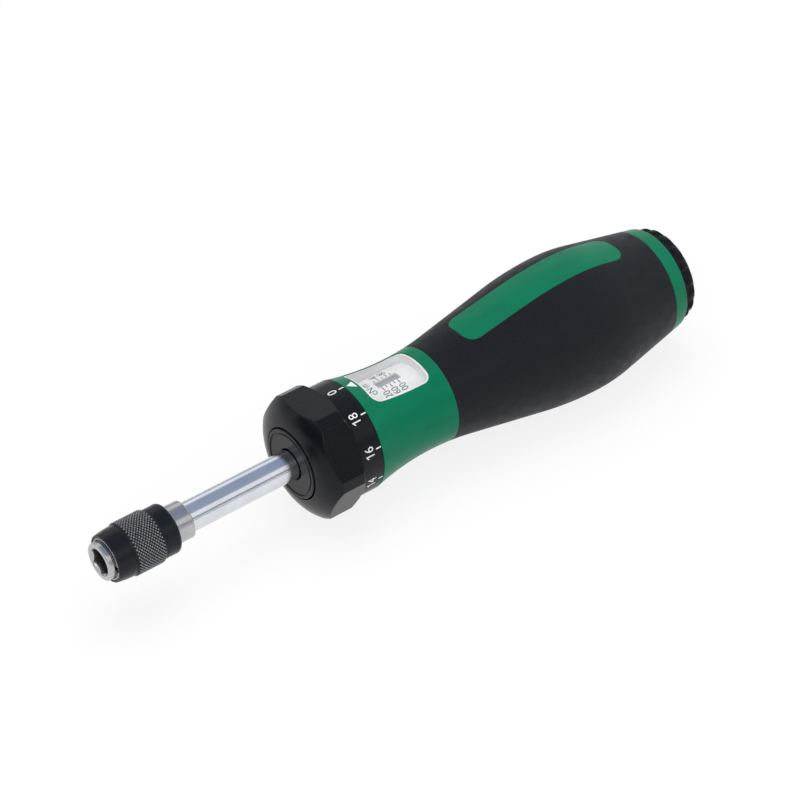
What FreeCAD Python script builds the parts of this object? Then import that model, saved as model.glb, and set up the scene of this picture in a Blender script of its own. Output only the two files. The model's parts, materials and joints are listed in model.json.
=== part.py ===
"""Torque screwdriver with a quick-release bit chuck, a micrometer-style torque setting and a ball clutch.

The tool lies along +X: the mouth of the bit socket is the origin, +X runs back to the end cap, and +Z points
through the index line of the handle. Sizes are in millimetres and degrees.
"""
import FreeCAD
import Part
import Sketcher
import math
import os
import re

# ----------------------------------------------------------------------------------------------- sizes
SIZES = {
    # fits between pieces
    "seat_gap": 0.02,
    "running_gap": 0.05,
    "face_gap": 0.1,
    # bit chuck
    "chuck_wall": 1.35,
    "chuck_edge": 0.35,
    "chuck_neck_length": 2.1,
    "socket_flats": 6.4,
    "socket_depth": 11.5,
    "socket_flare": 0.6,
    "socket_floor": 1.6,
    "collar_width": 1.0,
    "collar_rise": 0.95,
    "ring_place": 1.75,
    "ring_width": 0.65,
    "ring_rise": 0.65,
    "ring_groove": 0.5,
    "ring_split": 1.6,
    # retaining ball and the sleeve that frees it
    "ball_radius": 1.25,
    "ball_place": 8.0,
    "sleeve_travel": 3.0,
    "sleeve_mouth_wall": 0.35,
    "sleeve_nose_rise": 0.7,
    "sleeve_nose_length": 4.2,
    "sleeve_nose_bow": 1.6,
    "sleeve_lip": 1.4,
    "knurl_margin": 0.95,
    "knurl_rise": 0.35,
    "knurl_edge": 0.3,
    "sleeve_band_wall": 0.8,
    "sleeve_band_length": 4.8,
    "sleeve_tail_round": 1.2,
    "sleeve_skirt": 1.8,
    "land_length": 2.1,
    "sleeve_spring_room": 7.05,
    "sleeve_wire": 0.5,
    "sleeve_turns": 4.0,
    # output shaft
    "shaft_radius": 4.0,
    "shaft_edge": 0.3,
    # hexagon knob
    "knob_place": 57.7,
    "knob_length": 11.6,
    "knob_flat_rise": 0.3,
    "knob_corner_cut": 1.55,
    "knob_crown_rise": 1.65,
    "knob_crown_length": 4.6,
    "knob_crown_round": 26.0,
    "knob_back_length": 1.4,
    "lock_disc_rim": 1.0,
    "lock_disc_width": 1.7,
    "lock_disc_edge": 0.25,
    "lock_disc_groove": 0.3,
    "lock_thread_wall": 2.6,
    "lock_thread_length": 3.0,
    # dial ring behind the knob
    "dial_length": 6.1,
    "dial_wall": 2.6,
    "dial_edge": 0.2,
    # adjusting screw, its bush and its thrust washer
    "bush_wall": 0.95,
    "bush_length": 7.0,
    "nose_wall": 1.0,
    "stem_step": 1.0,
    "flange_width": 2.0,
    "screw_bore_gap": 0.3,
    "thread_wall": 1.0,
    "thread_end_gap": 3.0,
    "thread_lead": 1.25,
    "washer_width": 0.75,
    # inner barrel
    "barrel_room": 1.5,
    "barrel_wall": 1.4,
    "barrel_lip": 1.5,
    # spring follower and torque indicator
    "follower_gap": 1.2,
    "follower_length": 12.0,
    "indicator_flat": 0.6,
    "indicator_width": 2.9,
    "indicator_length": 8.2,
    "indicator_lead": 3.6,
    "full_turns": 5.0,
    "slot_end_gap": 0.4,
    # torque spring and ball clutch
    "spring_length": 45.0,
    "spring_wire": 2.2,
    "spring_turns": 7.0,
    "plate_width": 5.0,
    "plate_key_width": 3.0,
    "plate_key_rise": 0.9,
    "key_way_run": 3.0,
    "clutch_ball_radius": 2.0,
    "clutch_ball_count": 6,
    "clutch_seat_depth": 1.4,
    "cam_width": 4.4,
    "cam_pocket_depth": 0.8,
    "cam_hub_wall": 2.2,
    "cam_hub_length": 4.5,
    "pin_radius": 1.0,
    "pin_inset": 0.15,
    "rear_bush_length": 2.8,
    "rear_bush_wall": 1.4,
    "rear_plug_rim": 0.55,
    # handle
    "handle_front_wall": 5.2,
    "handle_front_edge": 0.25,
    "neck_length": 32.5,
    "neck_waist": 0.87,
    "neck_round": 80.0,
    "belly_wall": 9.45,
    "belly_front_length": 17.0,
    "belly_front_fall": 1.45,
    "belly_front_round": 100.0,
    "belly_rear_length": 9.5,
    "belly_rear_fall": 0.93,
    "belly_rear_round": 49.0,
    "tail_length": 20.9,
    "tail_fall": 4.07,
    "core_end_wall": 18.9,
    "grip_margin": 3.2,
    "grip_wall": 1.6,
    "rear_ring_width": 4.5,
    "stripe_front_margin": 10.5,
    "stripe_rear_margin": 8.8,
    "stripe_width": 11.2,
    "stripe_round": 3.6,
    # scale window
    "window_margin": 3.8,
    "window_length": 18.2,
    "window_width": 15.0,
    "window_round": 2.4,
    "tray_floor": 0.65,
    "tray_wall": 0.6,
    "tray_drop": 0.25,
    "lens_drop": 0.15,
    "lens_wall": 1.0,
    "scale_slot_margin": 0.5,
    "scale_slot_rest": 0.85,
    "scale_slot_width": 2.5,
    # end cap
    "cap_gap": 0.3,
    "cap_length": 4.0,
    "cap_step": 1.15,
    "cap_rim_place": 1.4,
    "cap_rim_fall": 0.45,
    "cap_end_fall": 1.15,
    "cap_end_round": 2.2,
    "cap_scallop_count": 18,
    "cap_scallop_radius": 1.5,
    "cap_scallop_depth": 0.75,
    "cap_cover_rim": 3.4,
    "cap_cover_width": 0.9,
    "cap_head_rim": 1.6,
    "cap_head_width": 1.3,
    "cap_axle_wall": 0.9,
    "cap_screw_radius": 1.7,
    "cap_screw_length": 11.0,
}

# places and sizes worked out from the ones above
PLACES = {
    # chuck and sleeve, from the bit socket outwards
    "socket_half": "socket_flats / 2",
    "socket_corner": "socket_half / cos(30)",
    "chuck_radius": "socket_corner + chuck_wall",
    "ring_end": "ring_place + ring_width",
    "ring_radius": "chuck_radius + ring_rise",
    "groove_radius": "chuck_radius - ring_groove",
    "sleeve_front": "ring_place + face_gap",
    "sleeve_bore": "chuck_radius + running_gap",
    "sleeve_mouth_bore": "ring_radius + running_gap",
    "sleeve_mouth_radius": "sleeve_mouth_bore + sleeve_mouth_wall",
    "sleeve_shoulder": "ring_end + running_gap",
    "sleeve_nose_radius": "sleeve_mouth_radius + sleeve_nose_rise",
    "sleeve_nose_end": "sleeve_front + sleeve_nose_length",
    "ball_height": "chuck_radius - ball_radius",
    "ball_lift": "socket_half - (ball_height - ball_radius)",
    "land_place": "ball_place + running_gap",
    "land_end": "land_place + land_length",
    "ramp_place": "land_place - sleeve_travel",
    "ramp_radius": "sleeve_bore + ball_lift",
    "relief_place": "sleeve_shoulder + sleeve_lip",
    "collar_place": "land_end + sleeve_spring_room",
    "collar_end": "collar_place + collar_width",
    "collar_radius": "chuck_radius + collar_rise",
    "sleeve_end": "collar_end + sleeve_skirt",
    "chamber_radius": "collar_radius + running_gap",
    "sleeve_band_radius": "chamber_radius + sleeve_band_wall",
    "sleeve_coil_radius": "(sleeve_bore + chamber_radius) / 2",
    "knurl_place": "sleeve_nose_end + knurl_margin",
    "knurl_end": "sleeve_end - sleeve_band_length",
    "knurl_radius": "sleeve_band_radius + knurl_rise",
    "chuck_length": "sleeve_end + sleeve_travel + chuck_neck_length",
    # shaft, and the hollow screw that turns on it
    "shaft_place": "socket_depth + socket_floor",
    "shaft_bore": "shaft_radius + seat_gap",
    "shaft_run": "shaft_radius + running_gap",
    "bush_radius": "shaft_run + bush_wall",
    "nose_radius": "bush_radius + nose_wall",
    "stem_radius": "nose_radius + stem_step",
    "stem_bore": "stem_radius + seat_gap",
    "screw_bore": "shaft_radius + screw_bore_gap",
    "thread_radius": "screw_bore + thread_wall",
    # barrel and handle, outwards from the screw
    "barrel_bore": "stem_radius + barrel_room",
    "barrel_radius": "barrel_bore + barrel_wall",
    "lip_bore": "stem_radius + running_gap",
    "inner_radius": "barrel_bore - running_gap",
    "flange_radius": "inner_radius - face_gap",
    "barrel_seat": "barrel_radius + seat_gap",
    "handle_front_radius": "barrel_radius + handle_front_wall",
    "neck_end_radius": "handle_front_radius - neck_waist",
    "belly_radius": "barrel_radius + belly_wall",
    "belly_start_radius": "belly_radius - belly_front_fall",
    "belly_end_radius": "belly_radius - belly_rear_fall",
    "handle_end_radius": "belly_end_radius - tail_fall",
    # knob, lock disc and dial
    "dial_radius": "handle_front_radius",
    "dial_bore": "dial_radius - dial_wall",
    "knob_flat": "dial_radius + knob_flat_rise",
    "knob_corner": "knob_flat / cos(30)",
    "knob_crown_radius": "knob_flat + knob_crown_rise",
    "knob_back_radius": "knob_flat + face_gap",
    "knob_end": "knob_place + knob_length",
    "dial_end": "knob_end + dial_length",
    "lock_hole_radius": "bush_radius - face_gap",
    "lock_thread_radius": "nose_radius + lock_thread_wall",
    "lock_disc_radius": "lock_thread_radius + lock_disc_rim",
    "lock_recess_radius": "lock_disc_radius + lock_disc_groove",
    "lock_disc_end": "knob_place + lock_disc_width",
    "lock_thread_end": "lock_disc_end + lock_thread_length",
    "screw_place": "lock_disc_end + seat_gap",
    "stem_place": "lock_thread_end + seat_gap",
    "bush_end": "screw_place + bush_length",
    # front thrust
    "handle_place": "dial_end + face_gap",
    "barrel_lip_end": "handle_place + barrel_lip",
    "washer_end": "barrel_lip_end + washer_width",
    "flange_place": "washer_end + running_gap",
    "flange_end": "flange_place + flange_width",
    # follower
    "follower_place": "flange_end + follower_gap",
    "follower_end": "follower_place + follower_length",
    "follower_travel": "full_turns * thread_lead",
    "nut_bore": "thread_radius + running_gap",
    "screw_end": "follower_end + follower_travel + thread_end_gap",
    "indicator_place": "follower_place + indicator_lead",
    "indicator_end": "indicator_place + indicator_length",
    "indicator_seat": "inner_radius - indicator_flat",
    "indicator_top": "barrel_radius - seat_gap",
    "slot_half": "indicator_width / 2 + running_gap",
    "slot_start": "indicator_place - slot_end_gap",
    "slot_end": "indicator_end + follower_travel + slot_end_gap",
    # spring and clutch
    "coil_radius": "inner_radius - spring_wire / 2 - running_gap",
    "plate_place": "follower_end + spring_length",
    "plate_end": "plate_place + plate_width",
    "plate_key_end": "plate_place + plate_width / 2",
    "plate_key_top": "inner_radius + plate_key_rise",
    "key_way_start": "plate_place - key_way_run",
    "key_way_half": "plate_key_width / 2 + running_gap",
    "clutch_ball_circle": "(shaft_bore + inner_radius) / 2",
    "clutch_ball_place": "plate_end + clutch_ball_radius - clutch_seat_depth",
    "cam_place": "clutch_ball_place + clutch_ball_radius + running_gap",
    "cam_end": "cam_place + cam_width",
    "cam_pocket_place": "cam_place - clutch_ball_radius + cam_pocket_depth",
    "cam_hub_radius": "shaft_bore + cam_hub_wall",
    "hub_end": "cam_end + cam_hub_length",
    "hub_space": "cam_hub_radius + face_gap",
    "pin_place": "cam_end + cam_hub_length / 2",
    "pin_half": "cam_hub_radius - pin_inset",
    "plug_place": "cam_end + washer_width + running_gap",
    "plug_shoulder": "hub_end + face_gap",
    "rear_bush_radius": "shaft_run + rear_bush_wall",
    "rear_bush_end": "plug_shoulder + rear_bush_length",
    "barrel_end": "rear_bush_end + rear_plug_rim",
    # handle lengths, back from the solid end behind the barrel
    "neck_end": "handle_place + neck_length",
    "handle_end": "barrel_end + core_end_wall",
    "belly_end": "handle_end - tail_length",
    "belly_peak": "belly_end - belly_rear_length",
    "belly_start": "belly_peak - belly_front_length",
    "window_place": "handle_place + window_margin",
    "window_end": "window_place + window_length",
    "grip_start": "window_end + grip_margin",
    "grip_end": "handle_end - rear_ring_width",
    "stripe_start": "grip_start + stripe_front_margin",
    "stripe_end": "grip_end - stripe_rear_margin",
    # scale tray
    "tray_seat": "barrel_radius + seat_gap * 2",
    "tray_top": "tray_seat + tray_floor",
    "scale_slot_place": "indicator_place + scale_slot_margin",
    "scale_slot_end": "scale_slot_place + follower_travel + scale_slot_rest",
    # end cap
    "cap_place": "handle_end + cap_gap",
    "cap_rim": "cap_place + cap_rim_place",
    "cap_end": "cap_place + cap_length",
    "cap_front_radius": "handle_end_radius - cap_step",
    "cap_rim_radius": "cap_front_radius - cap_rim_fall",
    "cap_end_radius": "cap_rim_radius - cap_end_fall",
    "cap_axle_radius": "cap_screw_radius + cap_axle_wall",
    "cap_axle_bore": "cap_axle_radius + running_gap",
    "cap_head_radius": "cap_axle_radius + cap_head_rim",
    "cap_head_bore": "cap_head_radius + running_gap",
    "cap_cover_radius": "cap_head_radius + cap_cover_rim",
    "cap_cover_bore": "cap_cover_radius + seat_gap",
    "cap_cover_place": "cap_end - cap_cover_width",
    "cap_cover_seat": "cap_cover_place - seat_gap",
    "cap_head_place": "cap_cover_seat - cap_head_width",
    "cap_head_end": "cap_head_place + cap_head_width",
    "cap_screw_end": "handle_end - cap_screw_length",
}

# shared by the rules below
WORDS = re.compile(r"[a-z_]+")
FUNCTIONS = ("cos", "sin", "tan", "sqrt")
FULL_TURN = 360
BEYOND = "2"
CLEAR_RADIUS = f"belly_radius + {BEYOND}"
RIGHT_THROUGH = f"2 * ({CLEAR_RADIUS})"
UNDER_BARREL = "barrel_radius / 2"


def fill_sheet(doc):
    """Keep every size and every place worked out from them in one sheet."""
    sheet = doc.addObject("Spreadsheet::Sheet", "Sizes")
    rows = [(name, str(size)) for name, size in SIZES.items()]
    rows += [(name, "=" + rule) for name, rule in PLACES.items()]
    for row, (name, text) in enumerate(rows, start=1):
        sheet.set(f"A{row}", name)
        sheet.set(f"B{row}", text)
        sheet.setAlias(f"B{row}", name)
    doc.recompute()
    return sheet


def linked(rule):
    """Write a rule for the sheet as an expression that any other object can use."""
    return WORDS.sub(lambda word: word[0] if word[0] in FUNCTIONS else "Sizes." + word[0], rule)


def bind(item, **rules):
    """Tie properties of an object to the sheet."""
    for name, rule in rules.items():
        item.setExpression(name.replace("__", "."), linked(rule))


class Workshop:
    """The document, its sheet, and the operations that every piece is made with."""

    def __init__(self):
        self.doc = FreeCAD.newDocument("TorqueScrewdriver")
        self.sheet = fill_sheet(self.doc)

    def size(self, rule):
        return float(self.sheet.evalExpression(rule))

    # ------------------------------------------------------------------------------------- sketches
    def sketch(self, body, name, plane="XY_Plane", offset=None):
        """Attach a sketch to one of the body's own origin planes, raised along its normal by an offset."""
        sketch = body.newObject("Sketcher::SketchObject", name)
        planes = [item for item in body.Origin.OriginFeatures if item.Role == plane]
        sketch.AttachmentSupport = [(planes[0], "")]
        sketch.MapMode = "FlatFace"
        if offset:
            sketch.setExpression(".AttachmentOffset.Base.z", linked(offset))
        return sketch

    def outline(self, sketch, corners, rounds=None):
        """Draw a closed outline whose corners are placed by the sheet.

        corners holds (across, up) rules. rounds maps an edge's number to (radius rule, side), where side 1
        bows the edge to the left of its direction and -1 to the right.
        """
        rounds = rounds or {}
        count = len(corners)
        points = [FreeCAD.Vector(self.size(a), self.size(b), 0) for a, b in corners]
        heads = []
        tails = []
        for edge in range(count):
            start = points[edge]
            end = points[(edge + 1) % count]
            if edge in rounds:
                curve, turned_round = self.arc_between(start, end, *rounds[edge])
                sketch.addGeometry(curve, False)
                heads.append((edge, 2 if turned_round else 1))
                tails.append((edge, 1 if turned_round else 2))
            else:
                sketch.addGeometry(Part.LineSegment(start, end), False)
                heads.append((edge, 1))
                tails.append((edge, 2))
        self.fix_corners(sketch, corners, points, heads, tails)
        for edge, (radius, _) in rounds.items():
            number = sketch.addConstraint(Sketcher.Constraint("Radius", edge, self.size(radius)))
            sketch.setExpression(f"Constraints[{number}]", linked(radius))
        return sketch

    def arc_between(self, start, end, radius, side):
        """An arc between two points, and whether it runs from the end to the start."""
        chord = end - start
        half = chord.Length / 2
        reach = self.size(radius)
        left = FreeCAD.Vector(-chord.y, chord.x, 0).normalize()
        sagitta = reach - math.sqrt(max(reach * reach - half * half, 0))
        middle = (start + end) * 0.5 + left * (side * sagitta)
        return Part.Arc(start, middle, end), side > 0

    def fix_corners(self, sketch, corners, points, heads, tails):
        """Join the edges end to end and tie each corner to the sheet."""
        rules = []
        joints = []
        for place, (across, up) in enumerate(corners):
            before = tails[place - 1]
            here = heads[place]
            joints.append(Sketcher.Constraint("Coincident", before[0], before[1], here[0], here[1]))
            for kind, axis, rule, reach in (
                ("DistanceX", -2, across, points[place].x),
                ("DistanceY", -1, up, points[place].y),
            ):
                if rule == "0":
                    joints.append(Sketcher.Constraint("PointOnObject", here[0], here[1], axis))
                else:
                    rules.append((kind, here, rule, reach))
        sketch.addConstraint(joints)
        for kind, here, rule, reach in rules:
            number = sketch.addConstraint(Sketcher.Constraint(kind, -1, 1, here[0], here[1], reach))
            sketch.setExpression(f"Constraints[{number}]", linked(rule))

    def circle(self, sketch, across, up, radius):
        """Draw one circle, placed and sized by the sheet."""
        centre = FreeCAD.Vector(self.size(across), self.size(up), 0)
        sketch.addGeometry(Part.Circle(centre, FreeCAD.Vector(0, 0, 1), self.size(radius)), False)
        number = sketch.addConstraint(Sketcher.Constraint("Radius", 0, self.size(radius)))
        sketch.setExpression(f"Constraints[{number}]", linked(radius))
        for kind, axis, rule, reach in (
            ("DistanceX", -2, across, centre.x),
            ("DistanceY", -1, up, centre.y),
        ):
            if rule == "0":
                sketch.addConstraint(Sketcher.Constraint("PointOnObject", 0, 3, axis))
            else:
                number = sketch.addConstraint(Sketcher.Constraint(kind, -1, 1, 0, 3, reach))
                sketch.setExpression(f"Constraints[{number}]", linked(rule))
        return sketch

    # ------------------------------------------------------------------------------------- features
    def body(self, label):
        body = self.doc.addObject("PartDesign::Body", label)
        body.Label = label
        return body

    def feature(self, body, kind, name, profile=None, **rules):
        feature = body.newObject("PartDesign::" + kind, name)
        if profile is not None:
            feature.Profile = profile
            profile.Visibility = False
        bind(feature, **rules)
        return feature

    def turn(self, body, name, corners, rounds=None, kind="Revolution"):
        """Turn an outline of (x, radius) corners once round the X axis, adding or cutting."""
        sketch = self.outline(self.sketch(body, name + "_outline"), corners, rounds)
        feature = self.feature(body, kind, name, sketch)
        feature.ReferenceAxis = (sketch, ["H_Axis"])
        feature.Angle = FULL_TURN
        self.doc.recompute()
        return feature

    def turned(self, label, corners, rounds=None):
        """A body that is one turned piece."""
        body = self.body(label)
        self.turn(body, label + "_turning", corners, rounds)
        return body

    def cut(self, body, name, sketch, rule, flip=False):
        """Pocket a sketch to a depth and make sure that the pocket removed something."""
        before = body.Shape.Volume
        pocket = self.feature(body, "Pocket", name, sketch, Length=rule)
        pocket.Reversed = flip
        self.doc.recompute()
        if not body.Shape.Volume < before:
            raise RuntimeError(name + " cuts nothing")
        return pocket

    def groove(self, body, name, corners, rounds=None):
        """Cut a turned groove and make sure that it removed something."""
        before = body.Shape.Volume
        feature = self.turn(body, name, corners, rounds, kind="Groove")
        if not body.Shape.Volume < before:
            raise RuntimeError(name + " cuts nothing")
        return feature

    def around(self, body, name, features, count):
        """Repeat features evenly round the X axis."""
        pattern = body.newObject("PartDesign::PolarPattern", name)
        pattern.Originals = features
        axis = [item for item in body.Origin.OriginFeatures if item.Role == "X_Axis"][0]
        pattern.Axis = (axis, [""])
        pattern.Angle = FULL_TURN
        bind(pattern, Occurrences=count)
        body.Tip = pattern
        self.doc.recompute()
        return pattern

    def coil(self, label, start, length, turns, radius, wire):
        """A helical spring along X, its wire's middle running from one wire radius inside each end."""
        body = self.body(label)
        sketch = self.sketch(body, label + "_wire")
        self.circle(sketch, f"{start} + {wire} / 2", radius, f"{wire} / 2")
        helix = self.feature(body, "AdditiveHelix", label + "_coil", sketch)
        helix.ReferenceAxis = (sketch, ["H_Axis"])
        helix.Mode = "height-turns-angle"
        bind(helix, Height=f"{length} - {wire}", Turns=turns)
        self.doc.recompute()
        return body

    # ------------------------------------------------------------------------------ solids and booleans
    def rod(self, label, radius, start, end):
        """A plain round rod along X."""
        rod = self.doc.addObject("Part::Cylinder", label)
        bind(rod, Radius=radius, Height=f"({end}) - ({start})")
        rod.Placement.Rotation = FreeCAD.Rotation(FreeCAD.Vector(0, 1, 0), 90)
        rod.setExpression(".Placement.Base.x", linked(start))
        return rod

    def plan_block(self, label, start, end, width, corner, low, high):
        """A block standing on the XY plane's outline: a rectangle with rounded corners, from low to high."""
        body = self.body(label)
        sketch = self.sketch(body, label + "_plan", offset=low)
        side = f"({width}) / 2"
        corners = [
            (f"{start} + {corner}", f"-{side}"),
            (f"{end} - ({corner})", f"-{side}"),
            (end, f"-{side} + {corner}"),
            (end, f"{side} - ({corner})"),
            (f"{end} - ({corner})", side),
            (f"{start} + {corner}", side),
            (start, f"{side} - ({corner})"),
            (start, f"-{side} + {corner}"),
        ]
        rounds = {edge: (corner, -1) for edge in (1, 3, 5, 7)}
        self.outline(sketch, corners, rounds)
        self.feature(body, "Pad", label + "_height", sketch, Length=f"({high}) - ({low})")
        self.doc.recompute()
        return body

    def boolean(self, kind, label, base, tool):
        result = self.doc.addObject("Part::" + kind, label)
        result.Base = base
        result.Tool = tool
        result.Label = label
        self.doc.recompute()
        return result


# ----------------------------------------------------------------------------------------------- chuck
def make_chuck_body(shop):
    """The nose that takes a hexagon bit: turned outside, with its collar, ring groove and shaft bore."""
    body = shop.turned("chuck_body", [
        ("0", "0"),
        ("0", "chuck_radius - chuck_edge"),
        ("chuck_edge", "chuck_radius"),
        ("ring_place", "chuck_radius"),
        ("ring_place", "groove_radius"),
        ("ring_end", "groove_radius"),
        ("ring_end", "chuck_radius"),
        ("collar_place", "chuck_radius"),
        ("collar_place", "collar_radius"),
        ("collar_end", "collar_radius"),
        ("collar_end", "chuck_radius"),
        ("chuck_length - chuck_edge", "chuck_radius"),
        ("chuck_length", "chuck_radius - chuck_edge"),
        ("chuck_length", "shaft_bore"),
        ("shaft_place - seat_gap", "shaft_bore"),
        ("shaft_place - seat_gap", "0"),
    ])
    hexagon = shop.outline(shop.sketch(body, "socket_hexagon", "YZ_Plane"), [
        ("0", "socket_corner"),
        ("-socket_half", "socket_corner / 2"),
        ("-socket_half", "-socket_corner / 2"),
        ("0", "-socket_corner"),
        ("socket_half", "-socket_corner / 2"),
        ("socket_half", "socket_corner / 2"),
    ])
    shop.cut(body, "socket", hexagon, "socket_depth", flip=True)
    shop.groove(body, "socket_countersink", [
        ("0", "0"),
        ("0", "socket_half + socket_flare"),
        ("socket_half + socket_flare", "0"),
    ])
    hole = shop.circle(shop.sketch(body, "ball_hole_mark", "XZ_Plane"), "ball_place", "0",
                       "ball_radius + running_gap")
    shop.cut(body, "ball_hole", hole, "collar_radius", flip=False)
    return body


def make_snap_ring(shop):
    """The split ring in the nose groove that keeps the sleeve on."""
    body = shop.turned("sleeve_snap_ring", [
        ("ring_place + seat_gap", "groove_radius + seat_gap"),
        ("ring_place + seat_gap", "ring_radius"),
        ("ring_end - seat_gap", "ring_radius"),
        ("ring_end - seat_gap", "groove_radius + seat_gap"),
    ])
    split = shop.outline(shop.sketch(body, "split_mark", "XZ_Plane"), [
        (f"ring_place - {BEYOND}", "-ring_split / 2"),
        (f"ring_end + {BEYOND}", "-ring_split / 2"),
        (f"ring_end + {BEYOND}", "ring_split / 2"),
        (f"ring_place - {BEYOND}", "ring_split / 2"),
    ])
    shop.cut(body, "split", split, CLEAR_RADIUS, flip=True)
    return body


def make_release_sleeve(shop):
    """The sliding collar: its land holds the ball in, its ramp and relief let it out."""
    return shop.turned("release_sleeve", [
        ("sleeve_front", "sleeve_mouth_bore"),
        ("sleeve_front", "sleeve_mouth_radius"),
        ("sleeve_nose_end", "sleeve_nose_radius"),
        ("knurl_place - knurl_edge", "sleeve_nose_radius"),
        ("knurl_place", "knurl_radius"),
        ("knurl_end", "knurl_radius"),
        ("knurl_end + knurl_edge", "sleeve_band_radius"),
        ("sleeve_end - sleeve_tail_round", "sleeve_band_radius"),
        ("sleeve_end", "chamber_radius + knurl_edge"),
        ("sleeve_end", "chamber_radius"),
        ("land_end", "chamber_radius"),
        ("land_end", "sleeve_bore"),
        ("land_place", "sleeve_bore"),
        ("ramp_place", "ramp_radius"),
        ("relief_place", "ramp_radius"),
        ("relief_place", "sleeve_bore"),
        ("sleeve_shoulder", "sleeve_bore"),
        ("sleeve_shoulder", "sleeve_mouth_bore"),
    ], {1: ("sleeve_nose_length * sleeve_nose_bow", 1), 7: ("sleeve_tail_round", 1)})


def make_sleeve_spring(shop):
    return shop.coil("sleeve_spring", "land_end + running_gap", "sleeve_spring_room - 2 * running_gap",
                     "sleeve_turns", "sleeve_coil_radius", "sleeve_wire")


def make_retaining_ball(shop):
    ball = shop.doc.addObject("Part::Sphere", "retaining_ball")
    bind(ball, Radius="ball_radius")
    ball.setExpression(".Placement.Base.x", linked("ball_place"))
    ball.setExpression(".Placement.Base.y", linked("ball_height"))
    return ball


def make_output_shaft(shop):
    """The ground shaft from the chuck through the knob and the spring to the rear bush."""
    return shop.turned("output_shaft", [
        ("shaft_place", "0"),
        ("shaft_place", "shaft_radius - shaft_edge"),
        ("shaft_place + shaft_edge", "shaft_radius"),
        ("rear_bush_end - shaft_edge", "shaft_radius"),
        ("rear_bush_end", "shaft_radius - shaft_edge"),
        ("rear_bush_end", "0"),
    ])


# ------------------------------------------------------------------------------------ knob, disc and dial
def make_adjuster_knob(shop):
    """The hexagon knob: corners planed off, crowned in front, chamfered behind, with the dial's spigot."""
    body = shop.body("adjuster_knob")
    hexagon = shop.outline(shop.sketch(body, "knob_hexagon", "YZ_Plane", "knob_place"), [
        ("knob_corner / 2", "knob_flat"),
        ("-knob_corner / 2", "knob_flat"),
        ("-knob_corner", "0"),
        ("-knob_corner / 2", "-knob_flat"),
        ("knob_corner / 2", "-knob_flat"),
        ("knob_corner", "0"),
    ])
    pad = shop.feature(body, "Pad", "knob_blank", hexagon, Length="knob_length")
    shop.doc.recompute()
    ridges = [f"Edge{number}" for number, edge in enumerate(pad.Shape.Edges, start=1)
              if abs(edge.tangentAt(edge.FirstParameter).x) > 0.9]
    planed = body.newObject("PartDesign::Chamfer", "planed_corners")
    planed.Base = (pad, ridges)
    bind(planed, Size="knob_corner_cut")
    shop.doc.recompute()
    shop.groove(body, "front_crown", [
        ("knob_place", "lock_recess_radius"),
        ("knob_place + knob_crown_length", "knob_crown_radius"),
        ("knob_place + knob_crown_length", CLEAR_RADIUS),
        (f"knob_place - {BEYOND}", CLEAR_RADIUS),
        (f"knob_place - {BEYOND}", "lock_recess_radius"),
    ], {0: ("knob_crown_round", 1)})
    shop.groove(body, "back_chamfer", [
        ("knob_end - knob_back_length", "knob_crown_radius"),
        ("knob_end", "knob_back_radius"),
        (f"knob_end + {BEYOND}", "knob_back_radius"),
        (f"knob_end + {BEYOND}", CLEAR_RADIUS),
        ("knob_end - knob_back_length", CLEAR_RADIUS),
    ])
    shop.turn(body, "dial_spigot", [
        (f"knob_end - {BEYOND}", "stem_bore"),
        ("dial_end - face_gap", "stem_bore"),
        ("dial_end - face_gap", "dial_bore - seat_gap"),
        (f"knob_end - {BEYOND}", "dial_bore - seat_gap"),
    ])
    shop.groove(body, "knob_bore", [
        (f"knob_place - {BEYOND}", "0"),
        (f"knob_place - {BEYOND}", "lock_recess_radius"),
        ("lock_disc_end + seat_gap", "lock_recess_radius"),
        ("lock_disc_end + seat_gap", "lock_thread_radius"),
        ("lock_thread_end + seat_gap", "lock_thread_radius"),
        ("lock_thread_end + seat_gap", "stem_bore"),
        (f"dial_end + {BEYOND}", "stem_bore"),
        (f"dial_end + {BEYOND}", "0"),
    ])
    return body


def make_knob_front_cap(shop):
    """The lock disc in the knob's face, screwed onto the nose of the adjusting screw."""
    return shop.turned("knob_front_cap", [
        ("knob_place - lock_disc_edge", "lock_hole_radius + lock_disc_edge"),
        ("knob_place - lock_disc_edge", "lock_disc_radius - lock_disc_edge"),
        ("knob_place", "lock_disc_radius"),
        ("lock_disc_end", "lock_disc_radius"),
        ("lock_disc_end", "lock_thread_radius - seat_gap"),
        ("lock_thread_end", "lock_thread_radius - seat_gap"),
        ("lock_thread_end", "nose_radius + seat_gap"),
        ("lock_disc_end", "nose_radius + seat_gap"),
        ("lock_disc_end", "lock_hole_radius"),
        ("knob_place", "lock_hole_radius"),
    ])


def make_dial_ring(shop):
    return shop.turned("dial_ring", [
        ("knob_end", "dial_bore"),
        ("knob_end", "dial_radius"),
        ("dial_end - dial_edge", "dial_radius"),
        ("dial_end - face_gap / 2", "dial_radius - dial_edge"),
        ("dial_end - face_gap / 2", "dial_bore"),
    ])


def make_adjuster_screw(shop):
    """The hollow screw: nose for the lock disc, stem for the knob, thrust flange, then the threaded tail."""
    return shop.turned("adjuster_screw", [
        ("screw_place", "bush_radius + seat_gap"),
        ("screw_place", "nose_radius"),
        ("stem_place", "nose_radius"),
        ("stem_place", "stem_radius"),
        ("flange_place", "stem_radius"),
        ("flange_place", "flange_radius"),
        ("flange_end", "flange_radius"),
        ("flange_end", "thread_radius"),
        ("screw_end", "thread_radius"),
        ("screw_end", "screw_bore"),
        ("bush_end", "screw_bore"),
        ("bush_end", "bush_radius + seat_gap"),
    ])


def make_ring(shop, label, start, end, bore, radius):
    """A plain washer or bush."""
    return shop.turned(label, [(start, bore), (start, radius), (end, radius), (end, bore)])


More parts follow.
